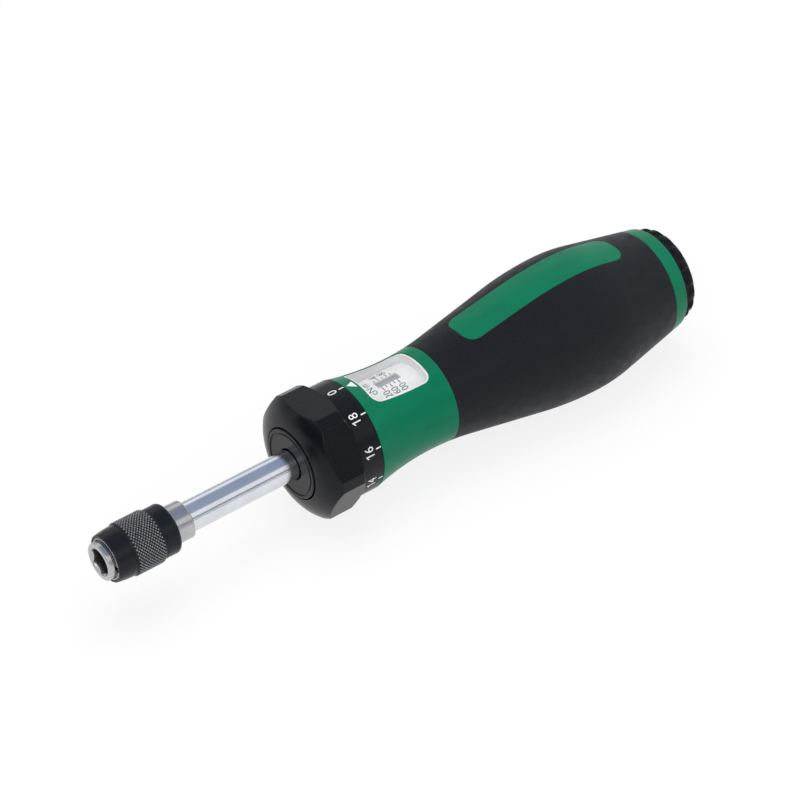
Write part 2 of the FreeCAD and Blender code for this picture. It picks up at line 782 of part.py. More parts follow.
# ------------------------------------------------------------------------------- follower, spring, clutch
def make_spring_follower(shop):
    """The nut that presses the spring, with a flat milled on top for the indicator."""
    body = shop.turned("spring_follower", [
        ("follower_place", "nut_bore"),
        ("follower_place", "inner_radius"),
        ("follower_end", "inner_radius"),
        ("follower_end", "nut_bore"),
    ])
    flat = shop.outline(shop.sketch(body, "indicator_flat_mark", offset="indicator_seat"), [
        ("indicator_place", "-barrel_radius"),
        (f"follower_end + {BEYOND}", "-barrel_radius"),
        (f"follower_end + {BEYOND}", "barrel_radius"),
        ("indicator_place", "barrel_radius"),
    ])
    shop.cut(body, "indicator_flat", flat, "barrel_radius", flip=True)
    return body


def make_torque_indicator(shop):
    """The key on the follower: it rides in the barrel's slot and shows through the scale."""
    body = shop.body("torque_indicator")
    plan = shop.outline(shop.sketch(body, "indicator_plan", offset="indicator_seat"), [
        ("indicator_place", "-indicator_width / 2"),
        ("indicator_end", "-indicator_width / 2"),
        ("indicator_end", "indicator_width / 2"),
        ("indicator_place", "indicator_width / 2"),
    ])
    shop.feature(body, "Pad", "indicator_block", plan, Length=f"barrel_radius + {BEYOND} - indicator_seat")
    shop.doc.recompute()
    shop.groove(body, "indicator_crown", [
        (f"indicator_place - {BEYOND}", "indicator_top"),
        (f"indicator_end + {BEYOND}", "indicator_top"),
        (f"indicator_end + {BEYOND}", CLEAR_RADIUS),
        (f"indicator_place - {BEYOND}", CLEAR_RADIUS),
    ])
    return body


def make_main_spring(shop):
    return shop.coil("main_spring", "follower_end + running_gap", "spring_length - 2 * running_gap",
                     "spring_turns", "coil_radius", "spring_wire")


def ball_pockets(shop, body, name, place, angle):
    """Round pockets for the clutch balls, on their circle round the X axis."""
    pocket = body.newObject("PartDesign::SubtractiveSphere", name)
    bind(pocket, Radius="clutch_ball_radius + running_gap")
    pocket.setExpression(".Placement.Base.x", linked(place))
    pocket.setExpression(".Placement.Base.y", linked(f"clutch_ball_circle * sin({angle})"))
    pocket.setExpression(".Placement.Base.z", linked(f"clutch_ball_circle * cos({angle})"))
    shop.doc.recompute()
    return shop.around(body, name + "s", [pocket], "clutch_ball_count")


def make_pressure_plate(shop):
    """The keyed plate that holds the clutch balls and is pushed by the spring."""
    body = shop.turned("pressure_plate", [
        ("plate_place", "screw_bore"),
        ("plate_place", "inner_radius"),
        ("plate_end", "inner_radius"),
        ("plate_end", "screw_bore"),
    ])
    key = shop.outline(shop.sketch(body, "plate_key_plan", offset="clutch_ball_circle"), [
        ("plate_place", "-plate_key_width / 2"),
        ("plate_key_end", "-plate_key_width / 2"),
        ("plate_key_end", "plate_key_width / 2"),
        ("plate_place", "plate_key_width / 2"),
    ])
    pad = shop.feature(body, "Pad", "plate_key", key, Length="plate_key_top - clutch_ball_circle")
    shop.doc.recompute()
    shop.around(body, "plate_keys", [pad], "2")
    ball_pockets(shop, body, "ball_seat", "clutch_ball_place", "0")
    return body


def make_clutch_balls(shop):
    body = shop.body("clutch_balls")
    ball = body.newObject("PartDesign::AdditiveSphere", "clutch_ball")
    bind(ball, Radius="clutch_ball_radius")
    ball.setExpression(".Placement.Base.x", linked("clutch_ball_place"))
    ball.setExpression(".Placement.Base.z", linked("clutch_ball_circle"))
    shop.doc.recompute()
    shop.around(body, "ball_circle", [ball], "clutch_ball_count")
    return body


def make_cam_disc(shop):
    """The disc pinned to the shaft: the balls click over the lands between its pockets."""
    body = shop.turned("cam_disc", [
        ("cam_place", "shaft_bore"),
        ("cam_place", "inner_radius"),
        ("cam_end", "inner_radius"),
        ("cam_end", "cam_hub_radius"),
        ("hub_end", "cam_hub_radius"),
        ("hub_end", "shaft_bore"),
    ])
    ball_pockets(shop, body, "click_pocket", "cam_pocket_place", "180 / clutch_ball_count")
    hole = shop.circle(shop.sketch(body, "pin_hole_mark"), "pin_place", "0", "pin_radius + seat_gap")
    pocket = shop.cut(body, "pin_hole", hole, RIGHT_THROUGH)
    pocket.Midplane = True
    shop.doc.recompute()
    return body


def make_cam_pin(shop):
    pin = shop.doc.addObject("Part::Cylinder", "cam_pin")
    bind(pin, Radius="pin_radius", Height="pin_half * 2")
    pin.setExpression(".Placement.Base.x", linked("pin_place"))
    pin.setExpression(".Placement.Base.z", linked("-pin_half"))
    return pin


def drill_shaft(shop, shaft):
    """The cross hole in the shaft for the cam pin."""
    hole = shop.circle(shop.sketch(shaft, "shaft_pin_mark"), "pin_place", "0", "pin_radius + seat_gap")
    pocket = shop.cut(shaft, "shaft_pin_hole", hole, RIGHT_THROUGH)
    pocket.Midplane = True
    shop.doc.recompute()
    return shaft


def make_rear_plug(shop):
    """The plug screwed into the barrel: it backs the clutch and carries the rear bush."""
    return shop.turned("rear_plug", [
        ("plug_place", "hub_space"),
        ("plug_place", "barrel_bore - seat_gap"),
        ("barrel_end", "barrel_bore - seat_gap"),
        ("barrel_end", "rear_bush_radius + seat_gap"),
        ("plug_shoulder", "rear_bush_radius + seat_gap"),
        ("plug_shoulder", "hub_space"),
    ])


def make_barrel_tube(shop):
    """The steel tube in the handle, lipped in front, slotted for the indicator and the plate's keys."""
    body = shop.turned("barrel_tube", [
        ("handle_place", "lip_bore"),
        ("handle_place", "barrel_radius"),
        ("barrel_end", "barrel_radius"),
        ("barrel_end", "barrel_bore"),
        ("barrel_lip_end", "barrel_bore"),
        ("barrel_lip_end", "lip_bore"),
    ])
    slot = shop.outline(shop.sketch(body, "indicator_slot_mark"), [
        ("slot_start", "-slot_half"),
        ("slot_end", "-slot_half"),
        ("slot_end", "slot_half"),
        ("slot_start", "slot_half"),
    ])
    shop.cut(body, "indicator_slot", slot, CLEAR_RADIUS, flip=True)
    ways = shop.outline(shop.sketch(body, "key_way_mark"), [
        ("key_way_start", "-key_way_half"),
        ("plate_key_end + running_gap", "-key_way_half"),
        ("plate_key_end + running_gap", "key_way_half"),
        ("key_way_start", "key_way_half"),
    ])
    pocket = shop.cut(body, "key_ways", ways, RIGHT_THROUGH, flip=False)
    pocket.Midplane = True
    shop.doc.recompute()
    return body


# ---------------------------------------------------------------------------------------------- handle
def handle_form(shop, label, drop):
    """The handle's outer form: a waisted neck, a straight flank, a full belly and a straight tail."""
    def down(rule):
        return rule if drop == "0" else f"{rule} - {drop}"
    return shop.turned(label, [
        ("handle_place", "0"),
        ("handle_place", down("handle_front_radius - handle_front_edge")),
        ("handle_place + handle_front_edge", down("handle_front_radius")),
        ("neck_end", down("neck_end_radius")),
        ("belly_start", down("belly_start_radius")),
        ("belly_peak", down("belly_radius")),
        ("belly_end", down("belly_end_radius")),
        ("handle_end", down("handle_end_radius")),
        ("handle_end", "0"),
    ], {2: ("neck_round", -1), 4: ("belly_front_round", 1), 5: ("belly_rear_round", 1)})


def make_handle(shop):
    """The green core and the black grip moulded over it, the core's stripes standing through the grip."""
    skin = handle_form(shop, "handle_skin", "0")
    bed = handle_form(shop, "grip_bed", "grip_wall")
    band = shop.rod("grip_band", CLEAR_RADIUS, "grip_start", "grip_end")
    shell = shop.boolean("Cut", "grip_shell", shop.boolean("Common", "grip_length", skin, band), bed)
    stripes = shop.plan_block("stripe_block", "stripe_start", "stripe_end", "stripe_width", "stripe_round",
                              f"-({CLEAR_RADIUS})", CLEAR_RADIUS)
    grip = shop.boolean("Cut", "grip_sleeve", shell, stripes)
    blank = shop.boolean("Cut", "core_blank", skin, grip)
    inside = shop.turned("core_inside", [
        (f"handle_place - {BEYOND}", "0"),
        (f"handle_place - {BEYOND}", "barrel_seat"),
        ("barrel_end + seat_gap", "barrel_seat"),
        ("barrel_end + seat_gap", "0"),
    ])
    bored = shop.boolean("Cut", "core_bored", blank, inside)
    axle_hole = shop.rod("axle_hole", "cap_screw_radius + seat_gap", "cap_screw_end - seat_gap",
                         f"handle_end + {BEYOND}")
    drilled = shop.boolean("Cut", "core_drilled", bored, axle_hole)
    opening = shop.plan_block("window_opening", "window_place", "window_end", "window_width", "window_round",
                              UNDER_BARREL, CLEAR_RADIUS)
    core = shop.boolean("Cut", "handle_core", drilled, opening)
    return core, grip


def window_block(shop, label, inset, low):
    """A block that fits the scale window with an inset all round."""
    return shop.plan_block(label, f"window_place + {inset}", f"window_end - ({inset})",
                           f"window_width - 2 * ({inset})", f"window_round - ({inset})",
                           low, CLEAR_RADIUS)


def make_scale_plate(shop):
    """The white tray in the window: a curved floor on the barrel, low walls, and the indicator's slot."""
    outside = window_block(shop, "tray_outside", "seat_gap", UNDER_BARREL)
    form = handle_form(shop, "tray_form", "tray_drop")
    block = shop.boolean("Common", "tray_block", outside, form)
    seat = shop.rod("tray_seat_rod", "tray_seat", "handle_place", "neck_end")
    seated = shop.boolean("Cut", "tray_seated", block, seat)
    floor = shop.rod("tray_floor_rod", "tray_top", "handle_place", "neck_end")
    inside = window_block(shop, "tray_inside", "seat_gap + tray_wall", UNDER_BARREL)
    hollow = shop.boolean("Cut", "tray_hollow", inside, floor)
    tray = shop.boolean("Cut", "tray_shell", seated, hollow)
    slot = shop.plan_block("scale_slot", "scale_slot_place", "scale_slot_end",
                           "scale_slot_width", "face_gap", UNDER_BARREL, CLEAR_RADIUS)
    return shop.boolean("Cut", "scale_plate", tray, slot)


def make_window_lens(shop):
    """The clear cover, flush with the neck and held between the tray's walls."""
    block = window_block(shop, "lens_block", "tray_wall + 2 * seat_gap", UNDER_BARREL)
    outer = handle_form(shop, "lens_outer", "lens_drop")
    inner = handle_form(shop, "lens_inner", "(lens_drop + lens_wall)")
    plate = shop.boolean("Common", "lens_plate", block, outer)
    return shop.boolean("Cut", "window_lens", plate, inner)


# --------------------------------------------------------------------------------------------- end cap
def make_end_cap(shop):
    """The swivel cap: a plain skirt, then a rim scalloped all round for the fingertips."""
    body = shop.turned("end_cap", [
        ("cap_place", "cap_axle_bore"),
        ("cap_place", "cap_front_radius"),
        ("cap_rim", "cap_rim_radius"),
        ("cap_end - cap_end_round", "cap_rim_radius"),
        ("cap_end", "cap_end_radius"),
        ("cap_end", "cap_cover_bore"),
        ("cap_cover_seat", "cap_cover_bore"),
        ("cap_cover_seat", "cap_head_bore"),
        ("cap_head_place - running_gap", "cap_head_bore"),
        ("cap_head_place - running_gap", "cap_axle_bore"),
    ], {3: ("cap_end_round", 1)})
    mark = shop.circle(shop.sketch(body, "scallop_mark", "YZ_Plane", "cap_rim"), "0",
                       "cap_rim_radius + cap_scallop_radius - cap_scallop_depth", "cap_scallop_radius")
    scallop = shop.cut(body, "scallop", mark, "cap_length", flip=True)
    shop.around(body, "scallops", [scallop], "cap_scallop_count")
    return body


def make_cap_screw(shop):
    """The shoulder screw that the cap turns on."""
    return shop.turned("cap_screw", [
        ("cap_screw_end", "0"),
        ("cap_screw_end", "cap_screw_radius"),
        ("handle_end", "cap_screw_radius"),
        ("handle_end", "cap_axle_radius"),
        ("cap_head_place", "cap_axle_radius"),
        ("cap_head_place", "cap_head_radius"),
        ("cap_head_end", "cap_head_radius"),
        ("cap_head_end", "0"),
    ])


def make_cap_cover(shop):
    """The disc pressed into the cap's end over the screw."""
    return shop.turned("cap_cover", [
        ("cap_cover_place", "0"),
        ("cap_cover_place", "cap_cover_radius"),
        ("cap_end", "cap_cover_radius"),
        ("cap_end", "0"),
    ])


# ---------------------------------------------------------------------------------------------- export
def make_all(shop):
    """Make every piece, and return them by name."""
    core, grip = make_handle(shop)
    pieces = [
        make_chuck_body(shop),
        make_snap_ring(shop),
        make_release_sleeve(shop),
        make_sleeve_spring(shop),
        make_retaining_ball(shop),
        drill_shaft(shop, make_output_shaft(shop)),
        make_adjuster_knob(shop),
        make_knob_front_cap(shop),
        make_dial_ring(shop),
        make_adjuster_screw(shop),
        make_ring(shop, "front_bush", "screw_place", "bush_end - seat_gap", "shaft_run", "bush_radius"),
        make_ring(shop, "thrust_washer", "barrel_lip_end", "washer_end", "lip_bore", "inner_radius"),
        make_spring_follower(shop),
        make_torque_indicator(shop),
        make_main_spring(shop),
        make_pressure_plate(shop),
        make_clutch_balls(shop),
        make_cam_disc(shop),
        make_cam_pin(shop),
        make_ring(shop, "clutch_washer", "cam_end + running_gap", "plug_place", "hub_space", "inner_radius"),
        make_rear_plug(shop),
        make_ring(shop, "rear_bush", "plug_shoulder + seat_gap", "rear_bush_end", "shaft_run",
                  "rear_bush_radius"),
        make_barrel_tube(shop),
        core,
        grip,
        make_scale_plate(shop),
        make_window_lens(shop),
        make_end_cap(shop),
        make_cap_screw(shop),
        make_cap_cover(shop),
    ]
    return {piece.Label: piece for piece in pieces}


def check(doc, pieces):
    """Stop if any object failed to compute or any piece isn't a sound solid."""
    for item in doc.Objects:
        if "Invalid" in item.State or "Error" in item.State:
            raise RuntimeError(f"{item.Label} failed: {item.State}")
    for name, piece in pieces.items():
        if piece.Shape.isNull() or not piece.Shape.isValid() or not piece.Shape.Solids:
            raise RuntimeError(name + " isn't a sound solid")


def main():
    shop = Workshop()
    pieces = make_all(shop)
    shop.doc.recompute()
    check(shop.doc, pieces)
    os.makedirs("parts", exist_ok=True)
    for name, piece in pieces.items():
        piece.Shape.exportStep(f"parts/{name}.step")
        print(f"{name}: {len(piece.Shape.Solids)} solid(s), {piece.Shape.Volume:.1f} mm3")


main()
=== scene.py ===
"""Torque screwdriver: the finish of every piece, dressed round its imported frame.

The tool lies along +X: the bit socket's mouth is the origin, +X runs back to the end cap and +Z goes through
the handle's index line. Angles round the tool are counted from +Z towards -Y.
"""
import json
import math

import bmesh
import bpy
from bpy.props import FloatProperty, FloatVectorProperty, IntProperty, PointerProperty
from bpy.types import Operator, Panel, PropertyGroup
from mathutils import Matrix, Quaternion, Vector


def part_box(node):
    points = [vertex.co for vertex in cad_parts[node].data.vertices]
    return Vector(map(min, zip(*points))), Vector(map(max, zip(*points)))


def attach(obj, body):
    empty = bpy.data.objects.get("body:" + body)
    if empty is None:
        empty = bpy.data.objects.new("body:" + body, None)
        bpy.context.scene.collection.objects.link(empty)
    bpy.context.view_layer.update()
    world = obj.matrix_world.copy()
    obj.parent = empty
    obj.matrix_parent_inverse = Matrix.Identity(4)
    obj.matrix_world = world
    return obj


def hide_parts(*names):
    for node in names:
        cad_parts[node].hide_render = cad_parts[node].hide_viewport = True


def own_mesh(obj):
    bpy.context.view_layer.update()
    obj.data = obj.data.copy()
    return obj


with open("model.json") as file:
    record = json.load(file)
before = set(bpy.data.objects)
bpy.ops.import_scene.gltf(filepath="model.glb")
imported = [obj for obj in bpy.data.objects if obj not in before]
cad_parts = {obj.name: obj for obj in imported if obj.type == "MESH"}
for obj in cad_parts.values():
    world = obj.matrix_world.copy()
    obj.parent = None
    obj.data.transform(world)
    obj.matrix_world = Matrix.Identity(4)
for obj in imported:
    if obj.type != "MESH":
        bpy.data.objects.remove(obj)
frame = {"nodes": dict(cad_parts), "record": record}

bl_info = {
    "name": "Torque Screwdriver",
    "version": (1, 0, 0),
    "blender": (4, 5, 0),
    "location": "3D View > Sidebar > Screwdriver",
    "description": "Builds the finished pieces of a torque screwdriver round its packed frame",
    "category": "Add Mesh",
}

MM = 0.001
ORIGIN = (0.0, 0.0, 0.0)
X_AXIS = (1.0, 0.0, 0.0)
TOUCH = 1e-7
NEAR = TOUCH * 10
ROUND = 192
EDGE_STEPS = 3


# ------------------------------------------------------------------------------------ places from the frame
def low(node):
    return Vector(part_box(node)[0])


def high(node):
    return Vector(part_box(node)[1])


SEAT = 0.02 * MM
RUNNING_GAP = 0.05 * MM
SKIN_DEPTH = 0.02 * MM
PRINT_RISE = 0.025 * MM
HANDLE_FRONT = low("handle_core").x
HANDLE_END = high("handle_core").x
GRIP_START = low("grip_sleeve").x
GRIP_END = high("grip_sleeve").x
BELLY_RADIUS = high("grip_sleeve").y
DIAL_RADIUS = high("dial_ring").y
BARREL_RADIUS = high("barrel_tube").y
BARREL_END = high("barrel_tube").x
KNOB_FRONT = low("adjuster_knob").x
KNOB_END = low("dial_ring").x
WINDOW_START = low("scale_plate").x - SEAT
WINDOW_END = high("scale_plate").x + SEAT
WINDOW_HALF = high("scale_plate").y + SEAT
SHAFT_RADIUS = high("output_shaft").y
CAP_START = low("end_cap").x
CAP_END = high("end_cap").x


# ------------------------------------------------------------------------------------------ sizes and colours
class HandleSizes(PropertyGroup):
    """The handle's outer line, its grip and its stripes."""

    neck_length: FloatProperty(name="Neck length",
                               description="From the handle's front to the end of its waist",
                               default=32.5 * MM, unit="LENGTH", precision=5)
    neck_waist: FloatProperty(name="Neck waist", description="How far the neck draws in by its end",
                              default=0.87 * MM, unit="LENGTH", precision=5)
    neck_round: FloatProperty(name="Neck round", description="Radius of the hollow line of the neck",
                              default=80 * MM, unit="LENGTH", precision=5)
    tail_length: FloatProperty(name="Tail length", description="Straight taper in front of the end cap",
                               default=20.9 * MM, unit="LENGTH", precision=5)
    tail_fall: FloatProperty(name="Tail fall", description="How far the tail tapers in",
                             default=4.07 * MM, unit="LENGTH", precision=5)
    belly_rear_length: FloatProperty(name="Belly rear length",
                                     description="From the fullest place to the tail",
                                     default=9.5 * MM, unit="LENGTH", precision=5)
    belly_rear_fall: FloatProperty(name="Belly rear fall", description="How far the belly falls to the tail",
                                   default=0.93 * MM, unit="LENGTH", precision=5)
    belly_rear_round: FloatProperty(name="Belly rear round", description="Radius of the belly's rear line",
                                    default=49 * MM, unit="LENGTH", precision=5)
    belly_front_length: FloatProperty(name="Belly front length",
                                      description="From the flank to the fullest place",
                                      default=17 * MM, unit="LENGTH", precision=5)
    belly_front_fall: FloatProperty(name="Belly front fall",
                                    description="How far the belly falls to the flank",
                                    default=1.45 * MM, unit="LENGTH", precision=5)
    belly_front_round: FloatProperty(name="Belly front round", description="Radius of the belly's front line",
                                     default=100 * MM, unit="LENGTH", precision=5)
    grip_wall: FloatProperty(name="Grip wall", description="Thickness of the soft grip",
                             default=1.6 * MM, unit="LENGTH", precision=5)
    stripe_front: FloatProperty(name="Stripe front margin", description="From the grip's front to the stripe",
                                default=10.5 * MM, unit="LENGTH", precision=5)
    stripe_rear: FloatProperty(name="Stripe rear margin", description="From the stripe to the grip's end",
                               default=8.8 * MM, unit="LENGTH", precision=5)
    stripe_width: FloatProperty(name="Stripe width", description="Width of each stripe across the handle",
                                default=11.2 * MM, unit="LENGTH", precision=5)
    stripe_corner: FloatProperty(name="Stripe corner", description="Corner radius of each stripe",
                                 default=3.6 * MM, unit="LENGTH", precision=5)
    seam: FloatProperty(name="Seam", description="Rounding on each side of a seam between mouldings",
                        default=0.16 * MM, unit="LENGTH", precision=5)


class WindowSizes(PropertyGroup):
    """The scale window, its tray, its lens and its print."""

    corner: FloatProperty(name="Window corner", description="Corner radius of the window",
                          default=2.4 * MM, unit="LENGTH", precision=5)
    tray_wall: FloatProperty(name="Tray wall", description="Thickness of the tray's rim",
                             default=0.6 * MM, unit="LENGTH", precision=5)
    tray_drop: FloatProperty(name="Tray drop", description="How far the tray's rim lies below the neck",
                             default=0.25 * MM, unit="LENGTH", precision=5)
    tray_floor: FloatProperty(name="Tray floor", description="Thickness of the tray's floor on the barrel",
                              default=0.65 * MM, unit="LENGTH", precision=5)
    lens_drop: FloatProperty(name="Lens drop", description="How far the lens lies below the neck",
                             default=0.15 * MM, unit="LENGTH", precision=5)
    lens_wall: FloatProperty(name="Lens wall", description="Thickness of the clear lens",
                             default=1.0 * MM, unit="LENGTH", precision=5)
    slot_margin: FloatProperty(name="Slot margin", description="From the indicator's front to the slot",
                               default=0.5 * MM, unit="LENGTH", precision=5)
    slot_length: FloatProperty(name="Slot length", description="Length of the slot over the indicator",
                               default=7.1 * MM, unit="LENGTH", precision=5)
    slot_width: FloatProperty(name="Slot width", description="Width of the slot over the indicator",
                              default=2.5 * MM, unit="LENGTH", precision=5)
    turn_travel: FloatProperty(name="Travel of one turn",
                               description="How far a turn of the dial moves the follower",
                               default=1.25 * MM, unit="LENGTH", precision=5)
    long_tick: FloatProperty(name="Long tick", description="Length of a numbered tick of the scale",
                             default=1.35 * MM, unit="LENGTH", precision=5)
    short_tick: FloatProperty(name="Short tick", description="Length of a plain tick of the scale",
                              default=0.8 * MM, unit="LENGTH", precision=5)
    tick_width: FloatProperty(name="Tick width", description="Width of a tick of the scale",
                              default=0.26 * MM, unit="LENGTH", precision=5)
    figure_height: FloatProperty(name="Figure height", description="Height of the scale's figures",
                                 default=2.0 * MM, unit="LENGTH", precision=5)


class DialSizes(PropertyGroup):
    """The dial ring's edges and print."""

    edge: FloatProperty(name="Dial edge", description="Rounding of the dial's edges",
                        default=0.25 * MM, unit="LENGTH", precision=5)
    wall: FloatProperty(name="Dial wall", description="Thickness of the dial ring",
                        default=2.6 * MM, unit="LENGTH", precision=5)
    divisions: IntProperty(name="Divisions", description="Ticks round the dial", default=10, min=2)
    step: IntProperty(name="Step", description="What one division adds to the setting", default=2, min=1)
    tick_length: FloatProperty(name="Tick length", description="Length of a tick of the dial",
                               default=1.5 * MM, unit="LENGTH", precision=5)
    tick_width: FloatProperty(name="Tick width", description="Width of a tick of the dial",
                              default=0.34 * MM, unit="LENGTH", precision=5)
    figure_height: FloatProperty(name="Figure height", description="Height of the dial's figures",
                                 default=2.6 * MM, unit="LENGTH", precision=5)
    figure_gap: FloatProperty(name="Figure gap", description="Between a tick and its figure",
                              default=0.75 * MM, unit="LENGTH", precision=5)
    pointer_length: FloatProperty(name="Pointer length", description="Length of the white arrow on the neck",
                                  default=2.4 * MM, unit="LENGTH", precision=5)
    pointer_width: FloatProperty(name="Pointer width", description="Width of the white arrow on the neck",
                                 default=2.8 * MM, unit="LENGTH", precision=5)
    pointer_gap: FloatProperty(name="Pointer gap", description="From the handle's front to the arrow's tip",
                               default=0.7 * MM, unit="LENGTH", precision=5)


class KnobSizes(PropertyGroup):
    """The hexagon knob and its lock disc."""

    flat: FloatProperty(name="Flat height", description="From the axis to each broad flat",
                        default=15.4 * MM, unit="LENGTH", precision=5)
    corner_cut: FloatProperty(name="Corner cut", description="How much each corner is planed off",
                              default=1.82 * MM, unit="LENGTH", precision=5)
    flat_edge: FloatProperty(name="Flat edge", description="Rounding between the flats",
                             default=0.8 * MM, unit="LENGTH", precision=5)
    length: FloatProperty(name="Knob length", description="Length of the hexagon",
                          default=11.6 * MM, unit="LENGTH", precision=5)
    crown_length: FloatProperty(name="Crown length", description="How far back the crowned front runs",
                                default=3.9 * MM, unit="LENGTH", precision=5)
    crown_radius: FloatProperty(name="Crown radius", description="Where the crowned front ends",
                                default=17.05 * MM, unit="LENGTH", precision=5)
    crown_round: FloatProperty(name="Crown round", description="Radius of the crowned front's line",
                               default=12 * MM, unit="LENGTH", precision=5)
    crown_edge: FloatProperty(name="Crown edge", description="Rounding between the crown and the flats",
                              default=0.35 * MM, unit="LENGTH", precision=5)
    back_length: FloatProperty(name="Back chamfer length", description="How far the rear chamfer runs",
                               default=1.4 * MM, unit="LENGTH", precision=5)
    back_radius: FloatProperty(name="Back radius", description="Where the rear chamfer ends",
                               default=15.5 * MM, unit="LENGTH", precision=5)
    recess_radius: FloatProperty(name="Recess radius", description="Recess for the lock disc",
                                 default=9.9 * MM, unit="LENGTH", precision=5)
    disc_radius: FloatProperty(name="Disc radius", description="Outer radius of the lock disc",
                               default=9.6 * MM, unit="LENGTH", precision=5)
    disc_hole: FloatProperty(name="Disc hole", description="Hole radius of the lock disc",
                             default=4.3 * MM, unit="LENGTH", precision=5)
    disc_width: FloatProperty(name="Disc width", description="Thickness of the lock disc",
                              default=1.95 * MM, unit="LENGTH", precision=5)
    stem_bore: FloatProperty(name="Stem bore", description="Bore radius of the knob",
                             default=7.02 * MM, unit="LENGTH", precision=5)


class ChuckSizes(PropertyGroup):
    """The bit chuck, its snap ring and the knurled sleeve."""

    radius: FloatProperty(name="Chuck radius", description="Radius of the chuck's nose",
                          default=5.045 * MM, unit="LENGTH", precision=5)
    edge: FloatProperty(name="Chuck edge", description="Chamfer of the chuck's front and rear edges",
                        default=0.35 * MM, unit="LENGTH", precision=5)
    socket_flat: FloatProperty(name="Socket flat", description="From the axis to each flat of the bit socket",
                               default=3.2 * MM, unit="LENGTH", precision=5)
    socket_depth: FloatProperty(name="Socket depth", description="Depth of the bit socket",
                                default=11.5 * MM, unit="LENGTH", precision=5)
    socket_flare: FloatProperty(name="Socket flare", description="How far the mouth is countersunk",
                                default=0.6 * MM, unit="LENGTH", precision=5)
    ring_place: FloatProperty(name="Ring place", description="Front of the snap ring's groove",
                              default=1.75 * MM, unit="LENGTH", precision=5)
    ring_width: FloatProperty(name="Ring width", description="Width of the snap ring's groove",
                              default=0.65 * MM, unit="LENGTH", precision=5)
    ring_rise: FloatProperty(name="Ring rise", description="How far the snap ring stands out",
                             default=0.65 * MM, unit="LENGTH", precision=5)
    ring_groove: FloatProperty(name="Ring groove", description="Depth of the snap ring's groove",
                               default=0.5 * MM, unit="LENGTH", precision=5)
    ring_split: FloatProperty(name="Ring split", description="Gap in the snap ring",
                              default=1.6 * MM, unit="LENGTH", precision=5)
    collar_place: FloatProperty(name="Collar place",
                                description="Front of the collar behind the sleeve's spring",
                                default=17.2 * MM, unit="LENGTH", precision=5)
    collar_width: FloatProperty(name="Collar width", description="Width of the collar",
                                default=1.0 * MM, unit="LENGTH", precision=5)
    knurl_start: FloatProperty(name="Knurl start", description="Front of the knurled band",
                               default=7.0 * MM, unit="LENGTH", precision=5)
    knurl_end: FloatProperty(name="Knurl end", description="Rear of the knurled band",
                             default=15.2 * MM, unit="LENGTH", precision=5)
    knurl_depth: FloatProperty(name="Knurl depth", description="Depth of the knurl's grooves",
                               default=0.36 * MM, unit="LENGTH", precision=5)
    knurl_rows: IntProperty(name="Knurl rows", description="Diamonds along the band", default=10, min=2)
    knurl_count: IntProperty(name="Knurl count", description="Diamonds round the band", default=42, min=8)
    nose_length: FloatProperty(name="Nose length", description="Length of the sleeve's rounded nose",
                               default=4.2 * MM, unit="LENGTH", precision=5)
    nose_radius: FloatProperty(name="Nose radius", description="Radius behind the sleeve's nose",
                               default=6.8 * MM, unit="LENGTH", precision=5)
    mouth_radius: FloatProperty(name="Mouth radius", description="Outer radius of the sleeve's mouth",
                                default=6.35 * MM, unit="LENGTH", precision=5)
    band_radius: FloatProperty(name="Band radius", description="Radius of the plain band at the rear",
                               default=6.68 * MM, unit="LENGTH", precision=5)
    tail_round: FloatProperty(name="Tail round", description="Rounding of the sleeve's rear edge",
                              default=1.2 * MM, unit="LENGTH", precision=5)


class CapSizes(PropertyGroup):
    """The scalloped end cap."""

    front_radius: FloatProperty(name="Front radius", description="Radius of the cap's plain skirt",
                                default=13.2 * MM, unit="LENGTH", precision=5)
    rim_place: FloatProperty(name="Rim place", description="Length of the plain skirt",
                             default=1.4 * MM, unit="LENGTH", precision=5)
    rim_radius: FloatProperty(name="Rim radius", description="Radius of the scalloped rim",
                              default=13.2 * MM, unit="LENGTH", precision=5)
    end_radius: FloatProperty(name="End radius", description="Radius of the flat end face",
                              default=12.2 * MM, unit="LENGTH", precision=5)
    end_round: FloatProperty(name="End round", description="Rounding of the rim's end",
                             default=1.8 * MM, unit="LENGTH", precision=5)
    scallops: IntProperty(name="Scallops", description="Finger scallops round the rim", default=18, min=3)
    scallop_radius: FloatProperty(name="Scallop radius", description="Radius of each scallop",
                                  default=1.75 * MM, unit="LENGTH", precision=5)
    scallop_depth: FloatProperty(name="Scallop depth", description="Depth of each scallop",
                                 default=1.0 * MM, unit="LENGTH", precision=5)
    axle_bore: FloatProperty(name="Axle bore", description="Bore radius of the cap",
                             default=2.65 * MM, unit="LENGTH", precision=5)


